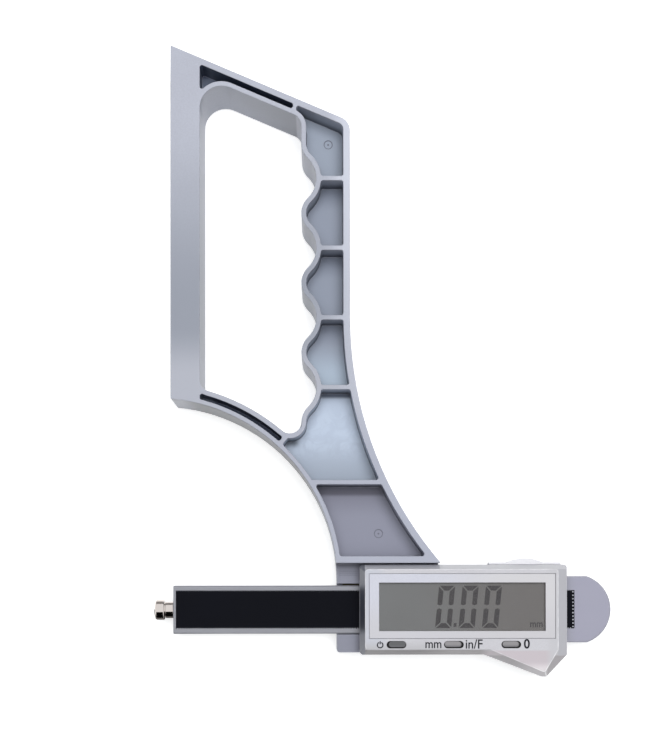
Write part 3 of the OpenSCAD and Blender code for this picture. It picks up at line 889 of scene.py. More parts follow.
@dataclass(frozen=True)
class Board(Finish):
    """A circuit board: lacquer over a net of copper tracks, which brick courses stand for.

    Attributes:
        lacquer: the lacquer's colour.
        track: its colour over a track.
        pitch: unit of the net in millimetres.
        net: the tracks' width, and the length and height of a course, in that unit.
        relief: strength of the tracks' bump.
        depth: height of the tracks in metres.
        grain: the shared grain's values.
    """

    lacquer: Colour
    track: Colour
    pitch: float = 1.3
    net: tuple[float, float, float] = (0.12, 3.4, 0.9)
    relief: float = 0.3
    depth: float = 0.00004
    grain: tuple[tuple[str, float], ...] = (
        ("Cloud Share", 0.35), ("Cloud Scale", 90.0), ("Grain Scale", 1500.0),
        ("Roughness", 0.32), ("Spread", 0.1),
    )

    def feed(self, bench: Bench) -> None:
        """Feeds the shader with the tracks under the lacquer's grain.

        Args:
            bench: what the finish is built with.
        """
        nodes, place = bench.nodes, bench.place
        lacquer = linear(self.lacquer)
        width, length, height = self.net
        tracks = nodes.add("ShaderNodeTexBrick", {
            "Vector": place, "Color1": lacquer, "Color2": lacquer, "Mortar": linear(self.track),
            "Scale": 1 / (self.pitch * MM), "Mortar Size": width, "Brick Width": length,
            "Row Height": height,
        }).outputs
        inputs = {"Vector": place, "Colour": tracks["Color"], "Cloud": lacquer}
        grain = nodes.group(bench.effects.grain, inputs | dict(self.grain))
        nodes.feed(bench.shader, {
            "Base Color": grain["Colour"], "Roughness": grain["Roughness"],
            "Normal": nodes.bump(tracks["Fac"], self.relief, self.depth),
        })


@dataclass(frozen=True)
class ClearWindow(Finish):
    """A clear moulded window that lets the lamps through to the display.

    Attributes:
        tone: its faint colour, in linear light.
        bend: its index of refraction.
        haze: least and most roughness of its faint haze.
        haze_scale: how close the haze lies.
        haze_range: noise between which it rises.
    """

    tone: tuple[float, float, float, float] = (0.97, 0.98, 0.98, 1.0)
    bend: float = 1.3
    haze: Pair = (0.005, 0.02)
    haze_scale: float = 140.0
    haze_range: Pair = (0.3, 0.8)

    def feed(self, bench: Bench) -> None:
        """Feeds the shader as hazy glass, and puts plain clearness in its place for lamps.

        Args:
            bench: what the finish is built with.
        """
        nodes, shader = bench.nodes, bench.shader
        noise = nodes.noise(bench.place, self.haze_scale)
        nodes.feed(shader, {
            "Roughness": nodes.stretch(noise, *self.haze_range, *self.haze),
            "Base Color": self.tone, "Transmission Weight": 1.0, "IOR": self.bend,
        })
        lamps = nodes.add("ShaderNodeLightPath").outputs["Is Shadow Ray"]
        clear = nodes.add("ShaderNodeBsdfTransparent").outputs[0]
        mixed = nodes.add("ShaderNodeMixShader", {0: lamps, 1: shader.outputs[0], 2: clear})
        nodes.feed(nodes.tree.nodes["Material Output"], {"Surface": mixed.outputs[0]})


def under_rib(y: float, colour: Colour, far: float, near: float, amount: float) -> Tint:
    """The shade on a cell's walls and floor under a rib.

    Args:
        y: height of the rib's lower side.
        colour: the shade's colour.
        far: how far below the rib it starts.
        near: how far below the rib it is full.
        amount: its strength.

    Returns:
        The tint, which ends inside the rib.
    """
    end, full = 1.4, 0.9
    below, inside = Reach(Y, y - far, y - near), Reach(Y, y + end, y + full)
    return Tint(colour, (below, inside), amount, Mark.FOOT)


class Look(Enum):
    """The finishes of the gauge's pieces."""

    HANDLE = Moulded(
        "handle_plastic_look", (188, 192, 205), (183, 186, 199), 0.42,
        worn=(208, 211, 223), wear_and_sheen=0.45, cloud_scale=48.0, relief=0.04,
        tints=(
            # Painted light and shade across the handle: the bar darker downwards and a little
            # lighter again below Y 76, the right rim lighter towards the top, everything below Y 50
            # darker.
            Tint((149, 154, 166), (Reach(Y, 165.0, 98.0), Reach(X, 62.0, 42.0))),
            Tint((184, 187, 198), (Reach(Y, 92.0, 76.0), Reach(X, 62.0, 42.0)), 0.8),
            Tint((208, 212, 225), (Reach(Y, 70.0, 150.0), Reach(X, 50.0, 57.0)), 0.9),
            Tint((172, 176, 191), (Reach(Y, 74.0, 50.0),), 0.8),
            # Painted shade on the wall round the hollow.
            Tint((108, 109, 116), (Reach(Y, 15.3, 46.0), Reach(X, 2.0, 10.0)), 0.9, Mark.HOLLOW),
            # Painted shade on the hand hole's upper wall, darker towards the right.
            Tint((138, 142, 154), (Reach(X, 12.0, 44.0),), 0.9, Mark.GRIP),
            # Painted shade on the cells' floors and wall feet, bluish and darker than the rims.
            Tint((146, 154, 170), amount=0.9, mark=Mark.FOOT),
            # Painted light on the floor at the lower end of the fourth finger cell and across the
            # neck, fading to a darker tone near the neck's lower end.
            Tint((176, 190, 206), (Reach(Y, 89.0, 77.0), Reach(Y, 72.6, 73.4)), mark=Mark.FOOT),
            Tint((189, 201, 219), (Reach(Y, 71.8, 69.0), Reach(Y, 40.0, 42.0)), mark=Mark.FOOT),
            Tint((165, 175, 190), (Reach(Y, 60.0, 45.0), Reach(Y, 40.0, 42.0)), mark=Mark.FOOT),
            # Patches of painted sheen on the neck's floor.
            Tint(
                (206, 219, 236), (Reach(Z, 13.9, 13.6), Reach(Y, 69.0, 63.0), Reach(Y, 48.0, 56.0)),
                0.4, Mark.FOOT, 230.0,
            ),
            # Painted shade on the foot cell's floor, and painted light on the top cell's floor.
            Tint((143, 145, 161), (Reach(Y, 42.0, 40.0),), mark=Mark.FOOT),
            Tint((158, 167, 182), (Reach(Y, 141.4, 142.6),), mark=Mark.FOOT),
            # Painted shade in the neck's left corner.
            Tint((62, 68, 80), (Reach(X, 42.5, 39.5), Reach(Y, 53.0, 55.5)), 0.85, Mark.FOOT),
            # Painted shadow under the ribs, on the cells' walls and floors.
            *(
                under_rib(y, (98, 105, 121), 8.0, 1.0, amount)
                for y, amount in ((139.45, 0.6), (116.8, 0.65), (94.15, 0.6))
            ),
            under_rib(71.5, (72, 81, 98), 2.0, 0.8, 0.9),
            under_rib(40.65, (124, 125, 140), 11.0, 3.0, 0.7),
            under_rib(40.65, (90, 90, 103), 3.6, 2.2, 0.9),
            # Painted shade at the foot of the cells' walls.
            Tint((40, 44, 58), (Reach(Z, 20.0, 14.4), Reach(Z, 13.5, 13.62)), 0.9, Mark.FOOT),
            # Painted shade on the base's face, and a darker painted shadow under the foot's rim.
            Tint((138, 140, 154), (Reach(Z, 13.6, 13.2), Reach(Y, 15.6, 15.2))),
            Tint(
                (76, 76, 88), (Reach(Z, 13.6, 13.2), Reach(Y, 13.2, 15.2), Reach(Y, 15.9, 15.4)),
                0.8,
            ),
            # Painted shade inside the two narrow slots, with painted light on the upper slot's left
            # end.
            Tint((66, 75, 98), mark=Mark.SLOT),
            Tint((112, 120, 138), (Reach(Y, 176.6, 175.4), Reach(X, 14.6, 12.4)), 0.9, Mark.SLOT),
        ),
    )
    BEAM = Moulded(
        "beam_plastic_look", (151, 153, 160), (147, 148, 156), 0.38, worn=(180, 181, 190), wear_and_sheen=0.5,
        cloud_scale=70.0, tints=(Tint((161, 161, 178), (Reach(X, 126.0, 134.0),)),),
    )
    STRIP = Moulded(
        "scale_strip_look", (3, 5, 13), (7, 9, 18), 0.42, cloud_scale=40.0, spread=0.2, relief=0.05,
        gloss=0.1,
    )
    CASE = Moulded(
        "case_plastic_look", (150, 151, 162), (143, 144, 156), 0.45, worn=(190, 190, 200), wear_and_sheen=0.5,
    )
    SILVER = Moulded(
        "silver_paint_look", (206, 206, 212), (200, 199, 205), 0.36,
        worn=(250, 250, 254), wear_and_sheen=0.85, cloud_share=0.5, grain_scale=2600.0, spread=0.16,
        relief=0.05, coat=0.15,
        tints=(
            # Painted shade on the thumb's face below the crease.
            Tint((197, 188, 194), (Reach(Y, -12.9, -13.6),), 0.9),
            # Painted shade on the front's left part, on its lower left and towards its right bevel.
            Tint((197, 200, 210), (Reach(X, 71.0, 66.0),), 0.9),
            Tint((187, 187, 191), (Reach(Y, -9.5, -12.6), Reach(X, 102.0, 86.0)), 0.9),
            Tint((197, 197, 202), (Reach(X, 121.0, 124.0),), 0.9),
            # Painted highlight at the thumb's tip.
            Tint((222, 216, 220), (Reach(Y, -16.6, -19.4), Reach(X, 112.0, 117.5))),
            # Painted shade on the thumb's bevels, lighter towards its right end, and on the right
            # bevel.
            Tint((168, 164, 168), (Reach(Z, 23.95, 23.6), Reach(Y, -14.6, -15.2))),
            Tint(
                (202, 198, 202),
                (Reach(Z, 23.95, 23.6), Reach(Y, -14.6, -15.2), Reach(X, 110.0, 119.0)),
            ),
            Tint(
                (168, 164, 168),
                (Reach(Z, 23.95, 23.7), Reach(Y, -14.6, -15.2), Reach(X, 121.6, 122.6)),
            ),
            Tint((186, 186, 193), (Reach(X, 125.5, 125.8), Reach(Y, -15.2, -14.6))),
            # Painted shade on the lower bevel, darker towards the left, and on the top bevel.
            Tint((160, 156, 159), (Reach(Y, -12.85, -13.15), Reach(X, 104.0, 100.0))),
            Tint((132, 129, 132), (Reach(Y, -12.85, -13.15), Reach(X, 93.0, 78.0))),
            Tint((204, 204, 210), (Reach(Y, 13.1, 13.3),)),
            # Painted shade on the left bevel, with a painted reflection of the dark strip beside
            # it.
            Tint((122, 124, 134), (Reach(X, 63.05, 62.85),)),
            Tint(
                (44, 48, 60), (Reach(X, 63.05, 62.85), Reach(Y, -8.4, -5.6), Reach(Y, 8.7, 5.9)),
                0.9,
            ),
            # Painted highlight on the rounded edge at the thumb's tip.
            Tint((255, 255, 255), (Reach(Y, -17.5, -19.0), Reach(X, 117.0, 119.0)), mark=Mark.EDGE),
        ),
    )
    DRAWER = Moulded(
        "drawer_paint_look", (236, 236, 241), (231, 231, 236), 0.4, worn=(240, 240, 244), wear_and_sheen=0.6,
        cloud_share=0.5, grain_scale=2600.0, relief=0.05,
    )
    BEZEL = Moulded(
        "bezel_paint_look", (210, 212, 224), (205, 207, 219), 0.34, worn=(232, 233, 240), wear_and_sheen=0.5,
        cloud_share=0.5, grain_scale=2600.0, spread=0.14, relief=0.04, coat=0.15,
        tints=(
            Tint((209, 208, 211), (Reach(X, 78.0, 112.0),), 0.9),
            Tint((201, 200, 205), (Reach(Y, 6.0, -7.0),), 0.8),
        ),
    )
    DISPLAY = Moulded(
        "display_look", (132, 133, 134), (127, 127, 128), 0.30, cloud_share=0.4, cloud_scale=55.0,
        grain_scale=3600.0, spread=0.05, relief=0.01, gloss=0.1,
        tints=(Tint((123, 119, 118), (Reach(X, 70.0, 118.0),), 0.9),),
    )
    SEGMENT = Moulded(
        "segment_look", (73, 70, 73), (79, 76, 78), 0.3, cloud_scale=300.0, relief=0.0, gloss=0.1,
    )
    INK = Moulded(
        "ink_look", (30, 30, 38), (40, 40, 48), 0.5, cloud_scale=600.0, relief=0.03, gloss=0.2,
    )
    MARK = Moulded("strip_mark_look", (196, 198, 206), (150, 152, 160), 0.5, cloud_scale=900.0)
    LINE = Moulded("mould_line_look", (112, 114, 126), (130, 132, 144), 0.5, cloud_scale=700.0)
    # The caps' black is painted shade on their sides; their faces take the grey below, the first
    # button's darker, each painted darker as shade towards its lower edge.
    BUTTON = Moulded(
        "button_rubber_look", (10, 10, 12), (14, 14, 16), 0.5,
        cloud_scale=300.0, relief=0.12, gloss=0.2,
        tints=(
            Tint((150, 148, 151), (Reach(Z, 24.1, 24.27),)),
            Tint((100, 101, 103), (Reach(Z, 24.1, 24.27), Reach(X, 82.0, 80.0))),
            Tint((112, 112, 116), (Reach(Z, 24.1, 24.27), Reach(Y, -11.2, -11.9)), 0.7),
        ),
    )
    SEAL = Moulded("seal_rubber_look", (30, 30, 33), (38, 38, 41), 0.62, relief=0.15)
    HOLDER = Moulded("holder_look", (226, 226, 222), (214, 214, 210), 0.5)
    CHIP = Moulded("chip_look", (26, 26, 29), (36, 36, 40), 0.48, cloud_scale=220.0, relief=0.15)
    LINK = Moulded("link_look", (34, 34, 37), (44, 44, 48), 0.5, cloud_scale=260.0)
    BOARD = Board("board_look", (24, 92, 58), (44, 122, 76))
    POINT = Steel(
        "point_steel_look", (217, 210, 206), (196, 188, 182), 0.11, pitch=0.07, spread=0.06,
    )
    STEEL = Steel("plain_steel_look", (198, 198, 202), (170, 168, 166), 0.30, axis=Z, pitch=0.12)
    CELL = Steel("cell_steel_look", (206, 206, 208), (184, 182, 180), 0.24, pitch=0.1)
    BRASS = Steel("spring_brass_look", (208, 176, 104), (176, 140, 82), 0.28, axis=Y, pitch=0.15)
    # The gib leaf is coloured dark brown, painted shade for the narrow gap it is seen through.
    LEAF = Steel("shaded_leaf_look", (46, 40, 32), (26, 23, 20), 0.38, pitch=0.3)
    LENS = ClearWindow("lens_look")


class Palette:
    """Builds each finish the first time a piece asks for it."""

    def __init__(self) -> None:
        """Builds the shared effects."""
        self.effects = Effects()
        self.made: dict[Look, bpy.types.Material] = {}

    def give(self, piece: bpy.types.Object, look: Look) -> None:
        """Puts a finish on a piece or on a node of the frame.

        Args:
            piece: the object to dress.
            look: the finish.
        """
        if look not in self.made:
            self.made[look] = look.value.build(self.effects)
        if not piece.data.materials:
            piece.data.materials.append(None)
        for slot in piece.material_slots:
            slot.material = self.made[look]


@dataclass
class Workshop:
    """What every sub-assembly works with: the frame's nodes and the finishes.

    Attributes:
        nodes: the frame's nodes by name.
        palette: the finishes.
        merge: distance in metres within which a node's points are one.
        flat_turn: faces that turn by fewer degrees than this are made one.
        sharp_turn: edges of a finished shell that turn by more degrees than this stay sharp.
        need: how many radii wide a face must be for its edge to be rounded, and how many radii a
            point may leave the surface that was rounded.
        weight: how much a large face's normal counts for more than a small one's, up to 100.
    """

    nodes: dict[str, bpy.types.Object]
    palette: Palette
    merge: float = 2e-6
    flat_turn: float = 0.5
    sharp_turn: float = 50.0
    need: float = 1.2
    weight: int = 80

    def dress(self, look: Look, *names: str) -> None:
        """Gives nodes that stay as they are their finish.

        Args:
            look: the finish.
            names: the nodes.
        """
        for name in names:
            self.palette.give(self.nodes[name], look)
            LOG.info("%s stays, with finish %s", name, look.name)

    def add(self, piece: bpy.types.Object, look: Look, body: Body, slot: Slot) -> None:
        """Takes a new piece into the gauge.

        Args:
            piece: the piece.
            look: its finish.
            body: the body it moves with.
            slot: not used.
        """
        self.palette.give(piece, look)
        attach(piece, body.value)
        LOG.info("%s rides on %s", piece.name, body.value)

    def stand_for(self, piece: bpy.types.Object, look: Look, name: str) -> None:
        """Puts a piece in the place of a node, on its body and with its finish.

        Args:
            piece: the piece.
            look: its finish.
            name: the node.
        """
        node = self.nodes[name]
        self.palette.give(piece, look)
        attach(piece, node["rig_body"])
        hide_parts(name)
        LOG.info("%s stands for %s", piece.name, name)

    def soften(
        self, name: str, look: Look, radius: float, crease: float = 30.0, steps: int = 2,
        leave: Rule | None = None, marks: dict[Mark, Rule] | None = None,
    ) -> None:
        """Replaces a node by a merged copy whose sharp edges are rounded, and marks the rounding.

        Args:
            name: the node.
            look: its finish.
            radius: radius of the rounding in millimetres.
            crease: edges that turn by more degrees than this are rounded.
            steps: faces across the rounding.
            leave: says, for points in drawing millimetres, where edges stay as they are.
            marks: the rule of each further mark, for the points of the finished mesh.
        """
        shell_name = name + "_shell"
        mesh = bpy.data.meshes.new(shell_name)
        shell = self._rounded(self.nodes[name].data, radius, crease, steps, leave)
        shell.to_mesh(mesh)
        shell.free()
        old = mesh.attributes.get("custom_normal")
        if old:
            mesh.attributes.remove(old)
        self._write(mesh, Mark.EDGE, self._edge_mark(mesh))
        for mark, rule in (marks or {}).items():
            self._write(mesh, mark, rule(drawing_points(mesh)))
        mesh.polygons.foreach_set("use_smooth", np.ones(len(mesh.polygons), bool))
        mesh.set_sharp_from_angle(angle=math.radians(self.sharp_turn))
        mesh.materials.clear()
        piece = placed(shell_name, mesh)
        normals = piece.modifiers.new("even_normals", "WEIGHTED_NORMAL")
        normals.keep_sharp = True
        normals.weight = self.weight
        self.stand_for(piece, look, name)

    def _rounded(
        self, mesh: bpy.types.Mesh, radius: float, crease: float, steps: int, leave: Rule | None
    ) -> bmesh.types.BMesh:
        """Makes the merged and rounded copy, in which the rounding's faces are flagged.

        Args:
            mesh: the node's mesh, which isn't changed.
            radius: radius of the rounding in millimetres.
            crease: least turn in degrees.
            steps: faces across the rounding.
            leave: says where edges stay as they are.

        Returns:
            The copy.
        """
        shell = bmesh.new()
        shell.from_mesh(mesh)
        rounded = shell.faces.layers.int.new("rounded")
        bmesh.ops.remove_doubles(shell, verts=shell.verts, dist=self.merge)
        bmesh.ops.dissolve_limit(
            shell, angle_limit=math.radians(self.flat_turn), verts=shell.verts, edges=shell.edges
        )
        before = BVHTree.FromBMesh(shell)
        result = bmesh.ops.bevel(
            shell, geom=self._sharp(shell, radius, crease, leave), offset=radius * MM,
            offset_type="OFFSET", segments=steps, profile=0.5, affect="EDGES", clamp_overlap=False,
        )
        for face in result["faces"]:
            face[rounded] = 1
        self._gather(shell, before, radius)
        return shell

    def _sharp(
        self, shell: bmesh.types.BMesh, radius: float, crease: float, leave: Rule | None
    ) -> list[bmesh.types.BMEdge]:
        """Picks the edges to round.

        Left out are edges beside a face that is narrower than the rounding needs, where a face's
        width is its area over the edge's length.

        Args:
            shell: the merged copy.
            radius: radius of the rounding in millimetres.
            crease: least turn in degrees.
            leave: says where edges stay as they are.

        Returns:
            The edges.
        """
        least = self.need * radius * MM
        picked = [
            edge for edge in shell.edges
            if edge.is_manifold and edge.calc_face_angle() > math.radians(crease)
            and all(face.calc_area() > least * edge.calc_length() for face in edge.link_faces)
        ]
        if leave is None or not picked:
            return picked
        middles = np.array([(edge.verts[0].co + edge.verts[1].co) / 2 for edge in picked])
        return [edge for edge, left in zip(picked, leave(in_drawing(middles))) if not left]

    def _gather(self, shell: bmesh.types.BMesh, before: BVHTree, radius: float) -> None:
        """Brings corners that the rounding threw off its surface back between their neighbours.

        Args:
            shell: the rounded copy.
            before: the surface it had before.
            radius: radius of the rounding in millimetres.
        """
        limit = self.need * radius * MM
        stray = {vert for vert in shell.verts if before.find_nearest(vert.co)[3] > limit}
        for vert in stray:
            ends = [edge.other_vert(vert) for edge in vert.link_edges]
            near = [end.co for end in ends if end not in stray]
            vert.co = sum(near, Vector()) / len(near) if near else before.find_nearest(vert.co)[0]

    @staticmethod
    def _edge_mark(mesh: bpy.types.Mesh) -> np.ndarray:
        """Works out the edge mark, which fades out across the faces outside the rounding.

        Formula: a vertex has 1 where all the faces round it belong to the rounding, else 0.

        Args:
            mesh: the rounded mesh, with its faces flagged.

        Returns:
            The mark of every vertex.
        """
        flags = np.zeros(len(mesh.polygons), np.int32)
        mesh.attributes["rounded"].data.foreach_get("value", flags)
        corners = np.zeros(len(mesh.loops), np.int32)
        mesh.loops.foreach_get("vertex_index", corners)
        totals = np.zeros(len(mesh.polygons), np.int32)
        mesh.polygons.foreach_get("loop_total", totals)
        marks = np.ones(len(mesh.vertices), np.float32)
        np.minimum.at(marks, corners, np.repeat(flags, totals).astype(np.float32))
        return marks

    @staticmethod
    def _write(mesh: bpy.types.Mesh, mark: Mark, values: np.ndarray) -> None:
        """Writes a mark into the mesh, one value for each vertex."""
        data = mesh.attributes.new(mark.value, "FLOAT", "POINT").data
        data.foreach_set("value", values.astype(np.float32))


@dataclass
class Handle:
    """The D handle with its guide base, and what is marked on it.

    Attributes:
        shop: the frame's nodes and the finishes.
        thickness: the handle's thickness.
        top_y: height of the sloped top edge at the reference face.
        top_slope: how far that edge falls to the right, in degrees.
        top_rim: distance below it of the hand hole's upper wall.
        top_band: distances below it between which the upper slot lies.
        corner: middle of the hand hole's upper left corner.
        corner_r: radius round it outside which the upper slot lies.
        corner_drop: how far below it the upper slot may reach.
        slots_x: X between which the upper slot lies, whose first bounds the lower slot too.
        ring_middle: middle of the hollow under the handle.
        ring_wall: radius of the hollow's wall.
        ring_band: radii between which the lower slot lies.
        ring_end: direction of the rib at the lower slot's end, in degrees.
        ring_back: distance to the left of that direction from which the slot counts.
        rim_depth: how deep the rims reach that the slots' mark leaves out.
        wall_reach: how near a wall its mark lies.
        foot_y: height above which the hollow's wall is marked.
        foot_rise: distances from the middle level between which the cells' feet are marked.
        floor_z: level of the cells' floors.
        print_sink: how deep lines and rings reach into their surface.
        mark_places: middles of the ejector marks.
        mark_r: radius of their rings.
        mark_line: width of the rings.
        dot_r: radius of the dots in their middle.
        mark_points: points round a ring and round a dot.
        mark_rise: height of rings and dots.
        line_levels: heights of the mould lines.
        line_x: X between which they lie.
        line_w: their width.
        line_rise: their height.
        base_z: level of the base's upper face.
    """

    shop: Workshop
    thickness: float = 24.0
    top_y: float = 183.4
    top_slope: float = 22.9
    top_rim: float = 5.25
    top_band: Pair = (1.8, 3.9)
    corner: Pair = (16.5, 163.13)
    corner_r: float = 8.4
    corner_drop: float = 1.0
    slots_x: Pair = (9.3, 39.4)
    ring_middle: Pair = (-5.6, 9.2)
    ring_wall: float = 59.5
    ring_band: Pair = (60.8, 62.95)
    ring_end: float = 49.53
    ring_back: float = -2.2
    rim_depth: float = 0.24
    wall_reach: float = 0.1
    foot_y: float = 15.3
    foot_rise: Pair = (0.9, 1.95)
    floor_z: float = 13.25
    print_sink: float = 0.05
    mark_places: tuple[Pair, ...] = ((51.2, 154.1), (67.7, 25.1))
    mark_r: float = 1.35
    mark_line: float = 0.3
    dot_r: float = 0.32
    mark_points: tuple[int, int] = (40, 20)
    mark_rise: float = 0.02
    line_levels: tuple[float, ...] = (11.4, 12.05, 12.7)
    line_x: Pair = (54.6, 61.0)
    line_w: float = 0.14
    line_rise: float = 0.015
    base_z: float = 13.0

    def build(self) -> None:
        """Builds the handle's shell and its marks, and dresses what is inside the base."""
        marks = {
            Mark.SLOT: self._slots, Mark.FOOT: self._feet, Mark.HOLLOW: self._hollow,
            Mark.GRIP: self._grip,
        }
        self.shop.soften("handle_frame", Look.HANDLE, 0.3, marks=marks)
        self.shop.dress(Look.LEAF, "gib_leaf")
        self.shop.dress(Look.STEEL, "base_screws")
        self._ejector_marks()
        self._mould_lines()

    def _under_top(self, points: np.ndarray) -> np.ndarray:
        """The distance below the sloped top edge: (top - Y) cos slope - X sin slope."""
        slope = math.radians(self.top_slope)
        return (self.top_y - points[:, 1]) * math.cos(slope) - points[:, 0] * math.sin(slope)

    def _slots(self, points: np.ndarray) -> np.ndarray:
        """Marks the walls and floors of the two narrow slots, which light hardly reaches.

        Formula: the upper slot is the band between two distances from the sloped top edge, down to
        the round corner of the hand hole at its left end. The lower slot is the band between two
        radii round the hollow's middle, up to the rib at its right end. Both count only below the
        rims, where the distance from the middle of the thickness is less than half of it.

        Args:
            points: array (points, 3).

        Returns:
            True inside the slots.
        """
        x, y, z = points.T
        left, right = self.slots_x
        under = self._under_top(points)
        corner = np.hypot(x - self.corner[0], y - self.corner[1])
        band = np.where(x < self.corner[0], corner > self.corner_r, under < self.top_band[1])
        upper = band & (under > self.top_band[0])
        upper &= (x < right) & (y > self.corner[1] - self.corner_drop)
        turn = math.radians(self.ring_end)
        dx, dy = x - self.ring_middle[0], y - self.ring_middle[1]
        radius = np.hypot(dx, dy)
        before = dy * math.cos(turn) - dx * math.sin(turn) > self.ring_back
        lower = (radius > self.ring_band[0]) & (radius < self.ring_band[1]) & before
        inside = np.abs(z - self.thickness / 2) < self.thickness / 2 - self.rim_depth
        return inside & (x > left) & (upper | lower)

    def _feet(self, points: np.ndarray) -> np.ndarray:
        """Marks the cells' floors and the foot of their walls: two bands beside the middle level.

        Args:
            points: array (points, 3).

        Returns:
            True in the bands.
        """
        low, high = self.foot_rise
        rise = np.abs(points[:, 2] - self.thickness / 2)
        return (rise > low) & (rise < high)

    def _hollow(self, points: np.ndarray) -> np.ndarray:
        """Marks the wall round the hollow: the points at its radius, above the foot.

        Args:
            points: array (points, 3).

        Returns:
            True on the wall.
        """
        dx, dy = (points[:, :2] - self.ring_middle).T
        wall = np.abs(np.hypot(dx, dy) - self.ring_wall) < self.wall_reach
        return wall & (points[:, 1] > self.foot_y)

    def _grip(self, points: np.ndarray) -> np.ndarray:
        """Marks the hand hole's upper wall: the points one rim below the sloped top edge."""
        return np.abs(self._under_top(points) - self.top_rim) < self.wall_reach

    def _ejector_marks(self) -> None:
        """A fine ring with a dot in its middle at the foot of each ejector mark."""
        low, high = self.floor_z - self.print_sink, self.floor_z + self.mark_rise
        ring_points, dot_points = self.mark_points
        parts = []
        for place in self.mark_places:
            ring = arc(place, self.mark_r, 0, 360, ring_points)
            dot = arc(place, self.dot_r, 0, 360, dot_points)
            parts += [ribbon(ring, self.mark_line, low, high, True), prisms(dot[None], low, high)]
        rings = Surface.joined(*parts).make("ejector_rings")
        self.shop.add(rings, Look.LINE, Body.FRAME, Slot.HANDLE)

    def _mould_lines(self) -> None:
        """Three fine lines across the base, left of the module."""
        left, right = self.line_x
        low, high = self.base_z - self.print_sink, self.base_z + self.line_rise
        middles = np.array([[(left + right) / 2, y] for y in self.line_levels])
        lines = rectangles(middles, right - left, self.line_w, low, high)
        self.shop.add(lines.make("base_lines"), Look.LINE, Body.FRAME, Slot.HANDLE)


@dataclass
class Slide:
    """The beam with its finger pull, its strip and its contact point.

    Attributes:
        shop: the frame's nodes and the finishes.
        strip_x: X of the strip's two ends.
        strip_half: half the strip's width.
        print_z: levels between which its marks lie.
        end_pitch: distance between the marks along its right end.
        end_margins: how far the first and the last of them stay off its long edges.
        end_inset: how far inside its right end they lie.
        end_size: their width and height.
        side_pitch: distance between the marks along its long edges.
        side_margins: how far the first and the last of them stay off its ends.
        side_inset: how far inside the long edges they lie.
        side_sizes: their width and height along the lower and along the upper edge.
    """

    shop: Workshop
    strip_x: Pair = (0.7, 132.65)
    strip_half: float = 6.3
    print_z: Pair = (12.78, 12.81)
    end_pitch: float = 1.15
    end_margins: Pair = (0.6, 0.3)
    end_inset: float = 0.45
    end_size: Pair = (0.42, 0.42)
    side_pitch: float = 0.85
    side_margins: Pair = (0.6, 0.9)
    side_inset: float = 0.12
    side_sizes: tuple[Pair, Pair] = ((0.4, 0.24), (0.24, 0.08))

    def build(self) -> None:
        """Builds the beam's shell, the steel pieces and the strip's printed edge."""
        self.shop.soften("beam", Look.BEAM, 0.2)
        self.shop.soften("nose_bush", Look.POINT, 0.25, steps=3)
        self.shop.soften("contact_point", Look.POINT, 0.35, steps=3)
        self.shop.dress(Look.STRIP, "scale_strip")
        self._edge_marks()

    def _edge_marks(self) -> None:
        """Small pale marks along the strip's right end and its two long edges."""
        half, (left, right) = self.strip_half, self.strip_x
        first, last = self.end_margins
        rise = np.arange(-half + first, half - last, self.end_pitch)
        end = np.stack([np.full_like(rise, right - self.end_inset), rise], 1)
        marks = [rectangles(end, *self.end_size, *self.print_z)]
        first, last = self.side_margins
        along = np.arange(left + first, right - last, self.side_pitch)
        for side, size in zip((-1, 1), self.side_sizes):
            edge = np.full_like(along, side * (half - self.side_inset))
            marks.append(rectangles(np.stack([along, edge], 1), *size, *self.print_z))
        strip_marks = Surface.joined(*marks).make("strip_marks")
        self.shop.add(strip_marks, Look.MARK, Body.SLIDE, Slot.STRIP)


